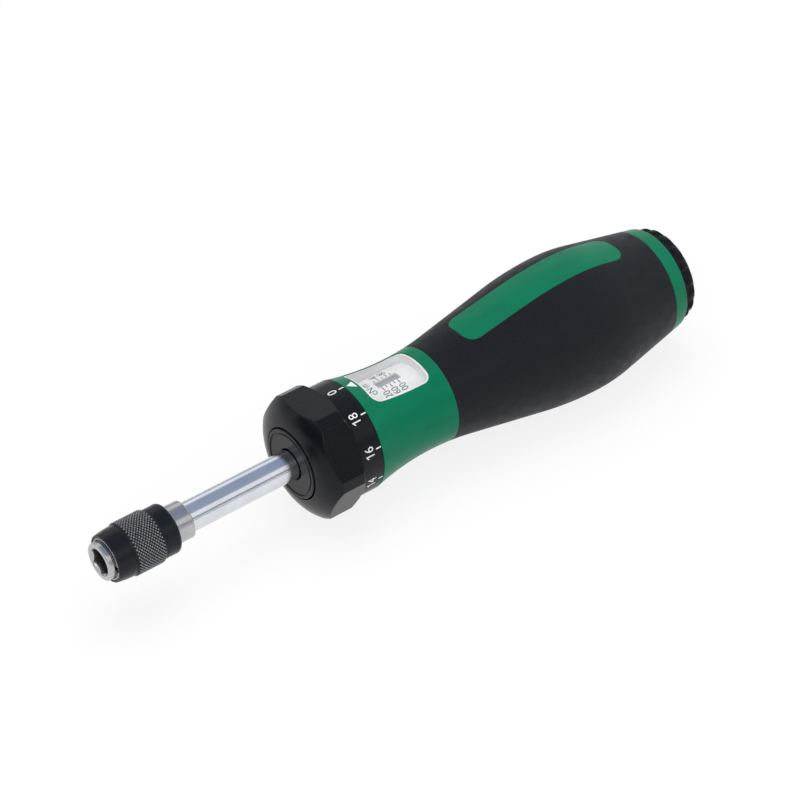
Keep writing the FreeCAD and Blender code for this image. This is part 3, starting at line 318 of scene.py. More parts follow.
class FinishColours(PropertyGroup):
    """The base colours of the finishes."""

    green: FloatVectorProperty(name="Green", description="Moulded green of the core",
                               default=(0.0, 0.185, 0.092), subtype="COLOR", min=0, max=1)
    grip: FloatVectorProperty(name="Grip", description="Soft black of the grip",
                              default=(0.0045, 0.005, 0.0075), subtype="COLOR", min=0, max=1)
    black: FloatVectorProperty(name="Black", description="Anodised black of the knob and dial",
                               default=(0.0035, 0.004, 0.006), subtype="COLOR", min=0, max=1)
    oxide: FloatVectorProperty(name="Oxide", description="Blackened steel of the sleeve",
                               default=(0.012, 0.015, 0.019), subtype="COLOR", min=0, max=1)
    chrome: FloatVectorProperty(name="Chrome", description="Polished shaft",
                                default=(0.72, 0.75, 0.8), subtype="COLOR", min=0, max=1)
    steel: FloatVectorProperty(name="Steel", description="Turned bright steel",
                               default=(0.62, 0.62, 0.63), subtype="COLOR", min=0, max=1)
    bronze: FloatVectorProperty(name="Bronze", description="Sintered bushes and washers",
                                default=(0.5, 0.3, 0.13), subtype="COLOR", min=0, max=1)
    grey: FloatVectorProperty(name="Grey", description="Satin grey of the torque indicator",
                              default=(0.3, 0.33, 0.39), subtype="COLOR", min=0, max=1)
    white: FloatVectorProperty(name="White", description="Tray and white print",
                               default=(0.9, 0.9, 0.91), subtype="COLOR", min=0, max=1)
    ink: FloatVectorProperty(name="Ink", description="Dark print of the scale",
                             default=(0.008, 0.008, 0.01), subtype="COLOR", min=0, max=1)


class StageSettings(PropertyGroup):
    """The floor, the lamps and the camera."""

    azimuth: FloatProperty(name="Azimuth", description="Camera's direction round the tool",
                           default=math.radians(-35.19), subtype="ANGLE")
    elevation: FloatProperty(name="Elevation", description="Camera's height above the horizon",
                             default=math.radians(36.95), subtype="ANGLE")
    roll: FloatProperty(name="Roll", description="Camera's turn about its own line of sight",
                        default=math.radians(-4.14), subtype="ANGLE")
    distance: FloatProperty(name="Distance", description="From the camera to its target",
                            default=840.4 * MM, unit="LENGTH")
    target: FloatVectorProperty(name="Target", description="What the camera looks at",
                                default=(93.09 * MM, 1.23 * MM, 1.34 * MM), subtype="XYZ", unit="LENGTH")
    lens: FloatProperty(name="Lens", description="Focal length in millimetres of film", default=148.5)
    world: FloatProperty(name="World light", description="Strength of the light from all round", default=0.45)
    lamp: FloatProperty(name="Lamp light", description="Strength of the soft lamps", default=1.0)
    floor_size: FloatProperty(name="Floor size", description="Half the floor's width",
                              default=3.0, unit="LENGTH")


# ------------------------------------------------------------------------------------------- outlines
def arc(start, end, reach, side, steps):
    """Points after start up to end on an arc of radius reach, bowed left (1) or right (-1) of its chord."""
    start = Vector(start)
    end = Vector(end)
    chord = end - start
    left = Vector((-chord.y, chord.x)).normalized()
    rise = math.sqrt(reach * reach - chord.length_squared / 4)
    centre = (start + end) / 2 - left * side * rise
    begin = math.atan2(start.y - centre.y, start.x - centre.x)
    swing = -side * 2 * math.asin(chord.length / 2 / reach)
    points = []
    for step in range(1, steps + 1):
        angle = begin + swing * step / steps
        points.append((centre.x + reach * math.cos(angle), centre.y + reach * math.sin(angle)))
    return points


def rounded(corners, steps=EDGE_STEPS):
    """A closed outline from (x, radius, rounding) corners."""
    points = []
    for number, (x, height, reach) in enumerate(corners):
        here = Vector((x, height))
        if not reach:
            points.append((x, height))
            continue
        back = (Vector(corners[number - 1][:2]) - here).normalized()
        onward = (Vector(corners[(number + 1) % len(corners)][:2]) - here).normalized()
        half = back.angle(onward) / 2
        centre = here + (back + onward).normalized() * (reach / math.sin(half))
        begin = here + back * (reach / math.tan(half)) - centre
        finish = here + onward * (reach / math.tan(half)) - centre
        for step in range(steps + 1):
            spoke = begin.lerp(finish, step / steps).normalized() * reach
            points.append(tuple(centre + spoke))
    return points


def between(start, end, steps):
    """Evenly spaced values from start to end."""
    return [start + (end - start) * step / steps for step in range(steps + 1)]


def round_the_axis(x, radius, angle):
    return Vector((x, -radius * math.sin(angle), radius * math.cos(angle)))


# -------------------------------------------------------------------------------------------- mesh tools
def tidy_shape(shape):
    """Merge doubles and turn every face outwards."""
    bmesh.ops.remove_doubles(shape, verts=shape.verts, dist=TOUCH)
    bmesh.ops.dissolve_degenerate(shape, edges=shape.edges, dist=TOUCH)
    bmesh.ops.recalc_face_normals(shape, faces=shape.faces)
    return shape


def spun(outline, closed=True, steps=ROUND):
    """Turn an outline of (x, radius) points once round the X axis."""
    shape = bmesh.new()
    chain = [shape.verts.new((x, 0.0, radius)) for x, radius in outline]
    for pair in zip(chain, chain[1:]):
        shape.edges.new(pair)
    if closed:
        shape.edges.new((chain[-1], chain[0]))
    bmesh.ops.spin(shape, geom=shape.verts[:] + shape.edges[:], cent=ORIGIN, axis=X_AXIS, dvec=ORIGIN,
                   angle=math.tau, steps=steps, use_merge=True)
    return tidy_shape(shape)


def grid(rows, columns, place, keep=None):
    """A grid of rows x columns cells, each of its vertices put at place(row, column)."""
    shape = bmesh.new()
    bmesh.ops.create_grid(shape, x_segments=rows, y_segments=columns, size=1.0)
    if keep:
        spare = []
        for face in shape.faces:
            middle = face.calc_center_median()
            row = int((middle.x + 1) / 2 * rows)
            column = int((middle.y + 1) / 2 * columns)
            if not keep(row, column):
                spare.append(face)
        bmesh.ops.delete(shape, geom=spare, context="FACES")
    for vert in shape.verts:
        row = round((vert.co.x + 1) / 2 * rows)
        column = round((vert.co.y + 1) / 2 * columns)
        vert.co = place(row, column)
    return shape


def lathe(outline_at, angles, closed=True):
    """A surface round the X axis whose outline changes with the angle."""
    outlines = [outline_at(angle) for angle in angles]
    outlines.append(outlines[0])
    turns = list(angles) + [angles[0]]
    rows = len(outlines[0]) - (0 if closed else 1)

    def place(row, column):
        x, radius = outlines[column][row % len(outlines[column])]
        return round_the_axis(x, radius, turns[column])

    return tidy_shape(grid(rows, len(angles), place))


def even_angles(count):
    """Angles evenly round the tool."""
    return [math.tau * number / count for number in range(count)]


def bevel_edges(shape, reach, chosen, steps=EDGE_STEPS, least=40):
    """Round off the edges that are sharper than least degrees and that chosen picks."""
    sharp = [edge for edge in shape.edges
             if len(edge.link_faces) == 2 and edge.calc_face_angle() > math.radians(least) and chosen(edge)]
    bmesh.ops.bevel(shape, geom=sharp, offset=reach, offset_type="OFFSET", segments=steps, profile=0.5,
                    affect="EDGES", clamp_overlap=True, material=-1)
    return shape


def thicken(shape, top):
    """Turn an open sheet into a slab: a copy of it goes to top(x, y), walls close the sides."""
    made = bmesh.ops.extrude_face_region(shape, geom=shape.faces[:], use_keep_orig=True)
    for item in made["geom"]:
        if isinstance(item, bmesh.types.BMVert):
            item.co.z = top(item.co.x, item.co.y)
    bmesh.ops.recalc_face_normals(shape, faces=shape.faces)
    return shape


def joined(shapes):
    """One shape from several."""
    whole = bmesh.new()
    for shape in shapes:
        part = bpy.data.meshes.new("part")
        shape.to_mesh(part)
        shape.free()
        whole.from_mesh(part)
        bpy.data.meshes.remove(part)
    return whole


def finish_piece(shape, name, body, material, replaces=(), crease=40):
    """Make the object, give it its finish and its body, and let it stand for the nodes that it replaces."""
    mesh = bpy.data.meshes.new(name)
    shape.to_mesh(mesh)
    shape.free()
    mesh.materials.append(material)
    mesh.shade_smooth()
    mesh.set_sharp_from_angle(angle=math.radians(crease))
    piece = bpy.data.objects.new(name, mesh)
    bpy.context.scene.collection.objects.link(piece)
    normals = piece.modifiers.new("even_shading", "WEIGHTED_NORMAL")
    normals.keep_sharp = True
    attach(piece, body)
    if replaces:
        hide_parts(*replaces)
    return piece


# --------------------------------------------------------------------------------------------- finishes
class Finish:
    """A node material under construction: a Principled shader and the textures that feed it."""

    def __init__(self, name, colour, roughness, metallic=0.0, **constants):
        self.material = bpy.data.materials.new(name)
        self.material.use_nodes = True
        self.tree = self.material.node_tree
        self.shader = self.tree.nodes["Principled BSDF"]
        self.colour = (*colour, 1.0)
        self.shader.inputs["Base Color"].default_value = self.colour
        self.shader.inputs["Roughness"].default_value = roughness
        self.shader.inputs["Metallic"].default_value = metallic
        for socket, value in constants.items():
            self.shader.inputs[socket.replace("_", " ")].default_value = value
        self.roughness = roughness
        self.coordinates = self.node("ShaderNodeTexCoord").outputs["Object"]

    def node(self, kind, **settings):
        node = self.tree.nodes.new(kind)
        for name, value in settings.items():
            setattr(node, name, value)
        return node

    def link(self, output, target):
        self.tree.links.new(output, target)

    def noise(self, size, stretch=(1, 1, 1), detail=3.0, source=None):
        """Noise whose grains are about size across, drawn out along the axes with a larger stretch."""
        mapping = self.node("ShaderNodeMapping")
        mapping.inputs["Scale"].default_value = [1 / (size * pull) for pull in stretch]
        self.link(source or self.coordinates, mapping.inputs["Vector"])
        noise = self.node("ShaderNodeTexNoise")
        noise.inputs["Scale"].default_value = 1.0
        noise.inputs["Detail"].default_value = detail
        self.link(mapping.outputs["Vector"], noise.inputs["Vector"])
        return noise.outputs["Fac"]

    def turning(self, pitch):
        """Fine lines that run round the X axis, on flat ends and on round sides alike."""
        split = self.node("ShaderNodeSeparateXYZ")
        self.link(self.coordinates, split.inputs["Vector"])
        across = self.node("ShaderNodeCombineXYZ")
        self.link(split.outputs["Y"], across.inputs["X"])
        self.link(split.outputs["Z"], across.inputs["Y"])
        radius = self.node("ShaderNodeVectorMath", operation="LENGTH")
        self.link(across.outputs["Vector"], radius.inputs[0])
        lines = self.node("ShaderNodeCombineXYZ")
        self.link(split.outputs["X"], lines.inputs["X"])
        self.link(radius.outputs["Value"], lines.inputs["Y"])
        return self.noise(pitch, detail=2.0, source=lines.outputs["Vector"])

    def spread(self, source, lowest, highest, start=0.3, end=0.7):
        """Map a texture to a range of values."""
        spread = self.node("ShaderNodeMapRange")
        spread.inputs["From Min"].default_value = start
        spread.inputs["From Max"].default_value = end
        spread.inputs["To Min"].default_value = lowest
        spread.inputs["To Max"].default_value = highest
        self.link(source, spread.inputs["Value"])
        return spread.outputs["Result"]

    def tint(self, source, other, amount=1.0):
        """Blend the base colour towards another by a texture."""
        mix = self.node("ShaderNodeMix", data_type="RGBA")
        mix.inputs["A"].default_value = self.colour
        mix.inputs["B"].default_value = (*other, 1.0)
        self.link(self.spread(source, 0.0, amount), mix.inputs["Factor"])
        self.link(mix.outputs["Result"], self.shader.inputs["Base Color"])
        return self

    def gloss(self, source, change):
        """Let a texture vary the roughness about its value."""
        self.link(self.spread(source, self.roughness - change, self.roughness + change),
                  self.shader.inputs["Roughness"])
        return self

    def relief(self, source, depth, strength=1.0):
        """Add a bump of that depth under any bump already there."""
        bump = self.node("ShaderNodeBump")
        bump.inputs["Distance"].default_value = depth
        bump.inputs["Strength"].default_value = strength
        self.link(source, bump.inputs["Height"])
        socket = self.shader.inputs["Normal"]
        if socket.is_linked:
            self.link(socket.links[0].from_socket, bump.inputs["Normal"])
        self.link(bump.outputs["Normal"], socket)
        return self


def scaled(colour, factor):
    return tuple(min(part * factor, 1.0) for part in colour)


def moulded_plastic(name, colour, roughness, grain=0.12 * MM, depth=0.004 * MM):
    """Moulded plastic: a fine spark-eroded grain, faint flow marks and slightly uneven colour."""
    finish = Finish(name, colour, roughness, Specular_IOR_Level=0.13)
    finish.tint(finish.noise(4 * MM, stretch=(3, 1, 1)), scaled(colour, 0.86))
    finish.gloss(finish.noise(0.5 * MM), 0.05)
    finish.relief(finish.noise(grain), depth)
    finish.relief(finish.noise(6 * MM, detail=1.0), 0.02 * MM)
    return finish.material


def soft_grip(name, colour):
    """Soft overmoulded grip: a close pebbled grain, matte, a little lighter where hands rub it."""
    finish = Finish(name, colour, 0.52, Specular_IOR_Level=0.2)
    grain = finish.noise(0.32 * MM, detail=4.0)
    finish.tint(grain, scaled(colour, 2.4), 0.8)
    finish.gloss(finish.noise(3 * MM, detail=5.0), 0.07)
    finish.relief(grain, 0.03 * MM)
    return finish.material


def anodised(name, colour, roughness):
    """Anodised aluminium: turned lines under a semi-gloss black."""
    finish = Finish(name, colour, roughness, Specular_IOR_Level=0.2)
    finish.tint(finish.noise(2 * MM), scaled(colour, 1.6))
    lines = finish.turning(0.09 * MM)
    finish.gloss(lines, 0.05)
    finish.relief(lines, 0.0012 * MM)
    return finish.material


def turned_metal(name, colour, roughness, pitch=0.08 * MM, depth=0.002 * MM, metallic=1.0):
    """Turned or ground metal: fine lines round the axis and cloudy roughness."""
    finish = Finish(name, colour, roughness, metallic)
    finish.tint(finish.noise(4 * MM), scaled(colour, 0.9))
    lines = finish.turning(pitch)
    finish.gloss(lines, roughness * 0.3)
    finish.relief(lines, depth)
    return finish.material


def polished_chrome(name, colour):
    """Polished chrome: nearly a mirror, with hairline scratches along the shaft."""
    finish = Finish(name, colour, 0.17, 1.0)
    finish.tint(finish.noise(5 * MM), scaled(colour, 0.92))
    finish.gloss(finish.noise(0.08 * MM, stretch=(60, 1, 1)), 0.03)
    finish.relief(finish.noise(0.12 * MM, stretch=(80, 1, 1)), 0.0004 * MM)
    return finish.material


def blackened_steel(name, colour, worn_and_highlit):
    """Blackened steel, lighter on the crests that the attribute marks: partly real wear, partly a painted
    highlight.
    """
    finish = Finish(name, colour, 0.3, 0.5, Specular_IOR_Level=0.3)
    # The marked crests get a lighter colour that is partly worn steel and partly painted highlight.
    wear_and_highlight = finish.node("ShaderNodeAttribute", attribute_name="wear_and_highlight").outputs["Fac"]
    rubbed_and_highlit = finish.node("ShaderNodeMath", operation="MULTIPLY")
    finish.link(wear_and_highlight, rubbed_and_highlit.inputs[0])
    finish.link(finish.spread(finish.noise(0.7 * MM), 0.4, 1.0), rubbed_and_highlit.inputs[1])
    mix = finish.node("ShaderNodeMix", data_type="RGBA")
    mix.inputs["A"].default_value = finish.colour
    mix.inputs["B"].default_value = (*worn_and_highlit, 1.0)
    finish.link(rubbed_and_highlit.outputs["Value"], mix.inputs["Factor"])
    finish.link(mix.outputs["Result"], finish.shader.inputs["Base Color"])
    lines = finish.turning(0.07 * MM)
    finish.gloss(lines, 0.08)
    finish.relief(lines, 0.001 * MM)
    return finish.material


def printed_ink(name, colour):
    """Pad-printed ink: slightly patchy and a little rough."""
    finish = Finish(name, colour, 0.5)
    finish.tint(finish.noise(0.4 * MM), scaled(colour, 0.9))
    finish.gloss(finish.noise(0.2 * MM), 0.06)
    return finish.material


def clear_lens(name):
    """Clear moulded plastic with a faint ripple in its polish."""
    finish = Finish(name, (0.9, 0.93, 0.92), 0.05, Alpha=0.1)
    finish.relief(finish.noise(5 * MM, detail=0.0), 0.004 * MM)
    finish.tint(finish.noise(8 * MM), (0.8, 0.84, 0.83))
    return finish.material


def make_finishes(colours):
    """Every finish of the tool, by the name of the slot that it fills."""
    white = tuple(colours.white)
    grey = tuple(colours.grey)
    steel = tuple(colours.steel)
    return {
        "green_plastic": moulded_plastic("green_plastic", tuple(colours.green), 0.36),
        "grip_rubber": soft_grip("grip_rubber", tuple(colours.grip)),
        "bright_steel": turned_metal("bright_steel", steel, 0.28),
        "white_plastic": moulded_plastic("white_plastic", white, 0.4, depth=0.002 * MM),
        "clear_lens": clear_lens("clear_lens"),
        "bronze": turned_metal("bronze", tuple(colours.bronze), 0.4, pitch=0.2 * MM),
        "spring_steel": turned_metal("spring_steel", scaled(steel, 0.55), 0.32),
        "hard_steel": turned_metal("hard_steel", scaled(steel, 0.9), 0.2),
        "black_knob": anodised("black_knob", tuple(colours.black), 0.26),
        "black_dial": anodised("black_dial", tuple(colours.black), 0.3),
        "indicator_grey": turned_metal("indicator_grey", grey, 0.36, metallic=0.35),
        "satin_steel": turned_metal("satin_steel", scaled(steel, 0.8), 0.24, pitch=0.12 * MM),
        "chrome_shaft": polished_chrome("chrome_shaft", tuple(colours.chrome)),
        # The light grey on the crests is partly worn bare steel and partly a painted highlight.
        "black_oxide": blackened_steel("black_oxide", tuple(colours.oxide), (0.42, 0.44, 0.46)),
        "black_cap": moulded_plastic("black_cap", scaled(tuple(colours.grip), 1.3), 0.4),
        "white_print": printed_ink("white_print", white),
        "dark_print": printed_ink("dark_print", tuple(colours.ink)),
    }


FINISHES = {}


# ---------------------------------------------------------------------------------------- the handle's form
class Opening:
    """A rounded rectangle in plan, cut straight down into the handle."""

    def __init__(self, start, end, half, corner):
        self.start = start
        self.end = end
        self.half = half
        self.corner = corner

    def inset(self, gap):
        """The opening drawn in by a gap all round."""
        return Opening(self.start + gap, self.end - gap, self.half - gap, self.corner - gap)

    def half_width(self, x):
        """Half the opening's width at a place along it."""
        reach = min(x - self.start, self.end - x)
        if reach >= self.corner:
            return self.half
        if reach <= 0:
            return self.half - self.corner
        side = self.corner - reach
        return self.half - self.corner + math.sqrt(self.corner ** 2 - side ** 2)

    def stations(self, spacing, steps=8):
        """Places along the opening: close together round its corners, evenly spaced between them."""
        swing = [self.corner * (1 - math.cos(math.pi / 2 * step / steps)) for step in range(steps + 1)]
        inner = self.end - self.start - 2 * self.corner
        count = max(round(inner / spacing), 2)
        middle = between(self.start + self.corner, self.end - self.corner, count)
        front = [self.start + reach for reach in swing[:-1]]
        back = [self.end - reach for reach in swing[-2::-1]]
        return front + middle + back


class HandleForm:
    """The handle's outer line: a waisted neck, a straight flank, a full belly and a straight tail."""

    def __init__(self, sizes):
        belly_end = HANDLE_END - sizes.tail_length
        peak = belly_end - sizes.belly_rear_length
        belly_start = peak - sizes.belly_front_length
        neck = (HANDLE_FRONT + sizes.neck_length, DIAL_RADIUS - sizes.neck_waist)
        flank = (belly_start, BELLY_RADIUS - sizes.belly_front_fall)
        crest = (peak, BELLY_RADIUS)
        tail = (belly_end, BELLY_RADIUS - sizes.belly_rear_fall)
        end = (HANDLE_END, BELLY_RADIUS - sizes.belly_rear_fall - sizes.tail_fall)
        self.end_radius = end[1]
        self.stretches = [
            ((HANDLE_FRONT, DIAL_RADIUS), neck, sizes.neck_round, -1),
            (neck, flank, None, 0),
            (flank, crest, sizes.belly_front_round, 1),
            (crest, tail, sizes.belly_rear_round, 1),
            (tail, end, None, 0),
        ]

    def radius(self, x):
        for start, end, reach, side in self.stretches:
            if x <= end[0] or end[0] == HANDLE_END:
                break
        if not side:
            return start[1] + (end[1] - start[1]) * (x - start[0]) / (end[0] - start[0])
        middle = (Vector(start) + Vector(end)) / 2
        chord = Vector(end) - Vector(start)
        left = Vector((-chord.y, chord.x)).normalized()
        centre = middle - left * side * math.sqrt(reach ** 2 - chord.length_squared / 4)
        return centre.y + side * math.sqrt(reach ** 2 - (x - centre.x) ** 2)

    def height(self, x, y, drop=0.0):
        """Height of the form over a point of the plan."""
        return math.sqrt((self.radius(x) - drop) ** 2 - y ** 2)


def handle_form():
    return HandleForm(bpy.context.scene.handle_sizes)


def window_opening():
    return Opening(WINDOW_START, WINDOW_END, WINDOW_HALF, bpy.context.scene.window_sizes.corner)


def stripe_opening():
    sizes = bpy.context.scene.handle_sizes
    return Opening(GRIP_START + sizes.stripe_front, GRIP_END - sizes.stripe_rear,
                   sizes.stripe_width / 2, sizes.stripe_corner)


def skin(outline, opening, sectors, inside, outside):
    """A closed turned shape with an opening through it in each sector.

    outline is closed: (x, radius) points. The columns fan out over the opening and follow its edge.
    """
    columns = sectors * (inside + outside)
    turn = math.tau / sectors
    rows = len(outline)

    def open_at(row):
        x = outline[row % rows][0]
        return opening.start - TOUCH <= x <= opening.end + TOUCH

    def place(row, column):
        x, radius = outline[row % rows]
        spread = math.asin(opening.half_width(x) / radius)
        sector, number = divmod(column, inside + outside)
        if number <= inside:
            angle = sector * turn + spread * (2 * number / inside - 1)
        else:
            angle = sector * turn + spread + (turn - 2 * spread) * (number - inside) / outside
        return round_the_axis(x, radius, angle)

    def keep(row, column):
        crosses = open_at(row) and open_at(row + 1)
        return not (crosses and column % (inside + outside) < inside)

    shape = grid(rows, columns, place, keep)
    bmesh.ops.remove_doubles(shape, verts=shape.verts, dist=TOUCH)
    for sector in range(sectors):
        middle = sector * turn
        rim = []
        for edge in shape.edges:
            if not edge.is_boundary:
                continue
            spot = (edge.verts[0].co + edge.verts[1].co) / 2
            off = math.atan2(-spot.y, spot.z) - middle
            if math.cos(off) > math.cos(turn / 2):
                rim.append(edge)
        bmesh.ops.bridge_loops(shape, edges=rim)
    bmesh.ops.recalc_face_normals(shape, faces=shape.faces)
    return shape


# -------------------------------------------------------------------------------------- the handle's pieces
def make_green_neck():
    """The green neck with the scale window, running on under the grip."""
    form = handle_form()
    sizes = bpy.context.scene.handle_sizes
    opening = window_opening()
    bore = BARREL_RADIUS + SEAT
    spigot_end = GRIP_START + 3 * MM
    edge_depth = 1.2 * MM
    stations = between(HANDLE_FRONT, WINDOW_START, 6)[:-1]
    stations += opening.stations(spacing=0.9 * MM)
    stations += between(WINDOW_END, GRIP_START, 6)[1:]
    outline = [(x, form.radius(x)) for x in stations]
    step = form.radius(GRIP_START) - sizes.grip_wall
    outline += [(GRIP_START, step), (spigot_end, form.radius(spigot_end) - sizes.grip_wall),
                (spigot_end, bore)]
    outline += [(x, bore) for x in reversed(stations)]
    shape = skin(outline, opening, sectors=1, inside=28, outside=132)

    def outer(edge):
        return min(math.hypot(vert.co.y, vert.co.z) for vert in edge.verts) > DIAL_RADIUS - edge_depth

    bevel_edges(shape, sizes.seam, outer)
    return finish_piece(shape, "green_neck", "handle", FINISHES["green_plastic"],
                        ["handle_core"])


def make_green_stripes():
    """The two green stripes that stand through the grip, flush with it."""
    form = handle_form()
    sizes = bpy.context.scene.handle_sizes
    opening = stripe_opening().inset(0.03 * MM)
    stations = opening.stations(spacing=1.0 * MM, steps=10)
    across = 20

    def place(row, column):
        x = stations[row]
        y = opening.half_width(x) * (2 * column / across - 1)
        return Vector((x, y, form.height(x, y, sizes.grip_wall)))

    pieces = []
    for name, side in (("upper_stripe", 1), ("lower_stripe", -1)):
        shape = grid(len(stations) - 1, across, place)
        thicken(shape, form.height)
        bevel_edges(shape, sizes.seam, lambda edge: all(
            abs(vert.co.z - form.height(vert.co.x, vert.co.y)) < NEAR for vert in edge.verts))
        bmesh.ops.scale(shape, vec=(1, side, side), verts=shape.verts)
        pieces.append(finish_piece(shape, name, "handle", FINISHES["green_plastic"]))
    return pieces


def make_green_core():
    """The green core inside the grip and the green ring behind it."""
    form = handle_form()
    sizes = bpy.context.scene.handle_sizes
    gap = 0.03 * MM
    start = GRIP_START + 3.2 * MM
    axle_bore = 2 * MM
    bore_end = BARREL_END + 1 * MM
    along = between(start, GRIP_END - gap, 36)
    inner = [(x, form.radius(x) - sizes.grip_wall - gap) for x in along]
    outline = inner + [(GRIP_END - gap, axle_bore), (bore_end, axle_bore),
                       (bore_end, BARREL_RADIUS + SEAT), (start, BARREL_RADIUS + SEAT)]
    finish_piece(spun(outline), "green_core", "handle", FINISHES["green_plastic"])
    front = GRIP_END + gap
    ring = rounded([
        (front, axle_bore, 0),
        (front, form.radius(front), sizes.seam),
        (HANDLE_END, form.end_radius, 0.35 * MM),
        (HANDLE_END, axle_bore, 0),
    ])
    return finish_piece(spun(ring), "green_tail_ring", "handle", FINISHES["green_plastic"])


def make_grip():
    """The soft black grip with its two openings for the stripes."""
    form = handle_form()
    sizes = bpy.context.scene.handle_sizes
    opening = stripe_opening()
    gap = 0.02 * MM
    stations = between(GRIP_START + gap, opening.start, 10)[:-1]
    stations += opening.stations(spacing=1.0 * MM, steps=10)
    stations += between(opening.end, GRIP_END - gap, 8)[1:]
    outline = [(x, form.radius(x)) for x in stations]
    outline += [(x, form.radius(x) - sizes.grip_wall) for x in reversed(stations)]
    shape = skin(outline, opening, sectors=2, inside=20, outside=76)

    def outer(edge):
        return all(form.radius(vert.co.x) - math.hypot(vert.co.y, vert.co.z) < SKIN_DEPTH
                   for vert in edge.verts)

    bevel_edges(shape, sizes.seam, outer)
    return finish_piece(shape, "soft_grip", "handle", FINISHES["grip_rubber"], ["grip_sleeve"])


# ------------------------------------------------------------------------------------------ the scale window
def make_scale_tray():
    """The white tray: a curved floor with the indicator's slot, and a low rim."""
    form = handle_form()
    sizes = bpy.context.scene.window_sizes
    opening = window_opening().inset(SEAT)
    inner = opening.inset(sizes.tray_wall)
    seat = BARREL_RADIUS + 2 * SEAT
    floor = seat + sizes.tray_floor
    slot_start = low("torque_indicator").x + sizes.slot_margin
    slot_end = slot_start + sizes.slot_length
    slot_half = sizes.slot_width / 2
    stations = sorted(inner.stations(spacing=0.7 * MM) + [slot_start, slot_end])
    slot_columns = 4
    side_columns = 7
    across = slot_columns + 2 * side_columns

    def share(x, column):
        half = inner.half_width(x)
        if column < side_columns:
            return -half + (half - slot_half) * column / side_columns
        if column > across - side_columns:
            return half - (half - slot_half) * (across - column) / side_columns
        return slot_half * (2 * (column - side_columns) / slot_columns - 1)

    def place(row, column):
        x = stations[row]
        y = share(x, column)
        return Vector((x, y, math.sqrt(seat ** 2 - y ** 2)))

    def keep(row, column):
        in_slot = slot_start - TOUCH <= stations[row] and stations[row + 1] <= slot_end + TOUCH
        return not (in_slot and side_columns <= column < across - side_columns)

    base = grid(len(stations) - 1, across, place, keep)
    thicken(base, lambda x, y: math.sqrt(floor ** 2 - y ** 2))
    bevel_edges(base, 0.06 * MM, lambda edge: all(
        abs(math.hypot(vert.co.y, vert.co.z) - floor) < NEAR and abs(vert.co.y) < slot_half + TOUCH
        for vert in edge.verts))
    rim = tray_rim(opening, inner)
    lowest = BARREL_RADIUS * 0.72
    thicken(rim, lambda x, y: form.height(x, y, sizes.tray_drop))
    for vert in rim.verts:
        if vert.co.z < TOUCH:
            vert.co.z = max(math.sqrt(max(seat ** 2 - vert.co.y ** 2, 0)), lowest)
    bevel_edges(rim, 0.12 * MM, lambda edge: all(
        abs(vert.co.z - form.height(vert.co.x, vert.co.y, sizes.tray_drop)) < NEAR
        for vert in edge.verts))
    return finish_piece(joined([base, rim]), "scale_tray", "handle",
                        FINISHES["white_plastic"], ["scale_plate"])


def tray_rim(outer, inner):
    """The flat plan of the tray's rim: a strip of faces between two rounded rectangles."""
    steps = 8
    straight = 22
    side = 16

    def loop(opening):
        middle_x = (opening.start + opening.end) / 2
        half_x = (opening.end - opening.start) / 2 - opening.corner
        half_y = opening.half - opening.corner
        points = []
        for quarter, (sign_x, sign_y) in enumerate(((1, 1), (-1, 1), (-1, -1), (1, -1))):
            for step in range(steps + 1):
                angle = math.pi / 2 * (quarter + step / steps)
                points.append((middle_x + sign_x * half_x + opening.corner * math.cos(angle),
                               sign_y * half_y + opening.corner * math.sin(angle)))
            ahead = ((-1, 1), (-1, -1), (1, -1), (1, 1))[quarter]
            cuts = straight if quarter % 2 == 0 else side
            last = points[-1]
            angle = math.pi / 2 * (quarter + 1)
            goal = (middle_x + ahead[0] * half_x + opening.corner * math.cos(angle),
                    ahead[1] * half_y + opening.corner * math.sin(angle))
            for step in range(1, cuts):
                points.append((last[0] + (goal[0] - last[0]) * step / cuts,
                               last[1] + (goal[1] - last[1]) * step / cuts))
        return points

    loops = (loop(outer), loop(inner))
    count = len(loops[0])

    def place(row, column):
        x, y = loops[column][row % count]
        return Vector((x, y, 0.0))

    shape = grid(count, 1, place)
    bmesh.ops.remove_doubles(shape, verts=shape.verts, dist=TOUCH)
    return shape


def make_scale_lens():
    """The clear lens that closes the window."""
    form = handle_form()
    sizes = bpy.context.scene.window_sizes
    opening = window_opening().inset(sizes.tray_wall + 3 * SEAT)
    stations = opening.stations(spacing=0.9 * MM)
    across = 20

    def place(row, column):
        x = stations[row]
        y = opening.half_width(x) * (2 * column / across - 1)
        return Vector((x, y, form.height(x, y, sizes.lens_drop + sizes.lens_wall)))

    def top(x, y):
        return form.height(x, y, sizes.lens_drop)

    shape = thicken(grid(len(stations) - 1, across, place), top)
    bevel_edges(shape, 0.15 * MM, lambda edge: all(
        abs(vert.co.z - top(vert.co.x, vert.co.y)) < NEAR for vert in edge.verts))
    return finish_piece(shape, "scale_lens", "handle", FINISHES["clear_lens"], ["window_lens"])


def make_indicator():
    """The grey indicator that slides under the scale's slot."""
    start = low("torque_indicator")
    end = high("torque_indicator")
    crown = end.z
    rows = 12
    across = 8

    def place(row, column):
        x = start.x + (end.x - start.x) * row / rows
        y = start.y + (end.y - start.y) * column / across
        return Vector((x, y, start.z))

    shape = thicken(grid(rows, across, place), lambda x, y: math.sqrt(crown ** 2 - y ** 2))
    bevel_edges(shape, 0.12 * MM, lambda edge: True)
    return finish_piece(shape, "sliding_indicator", "follower", FINISHES["indicator_grey"],
                        ["torque_indicator"])


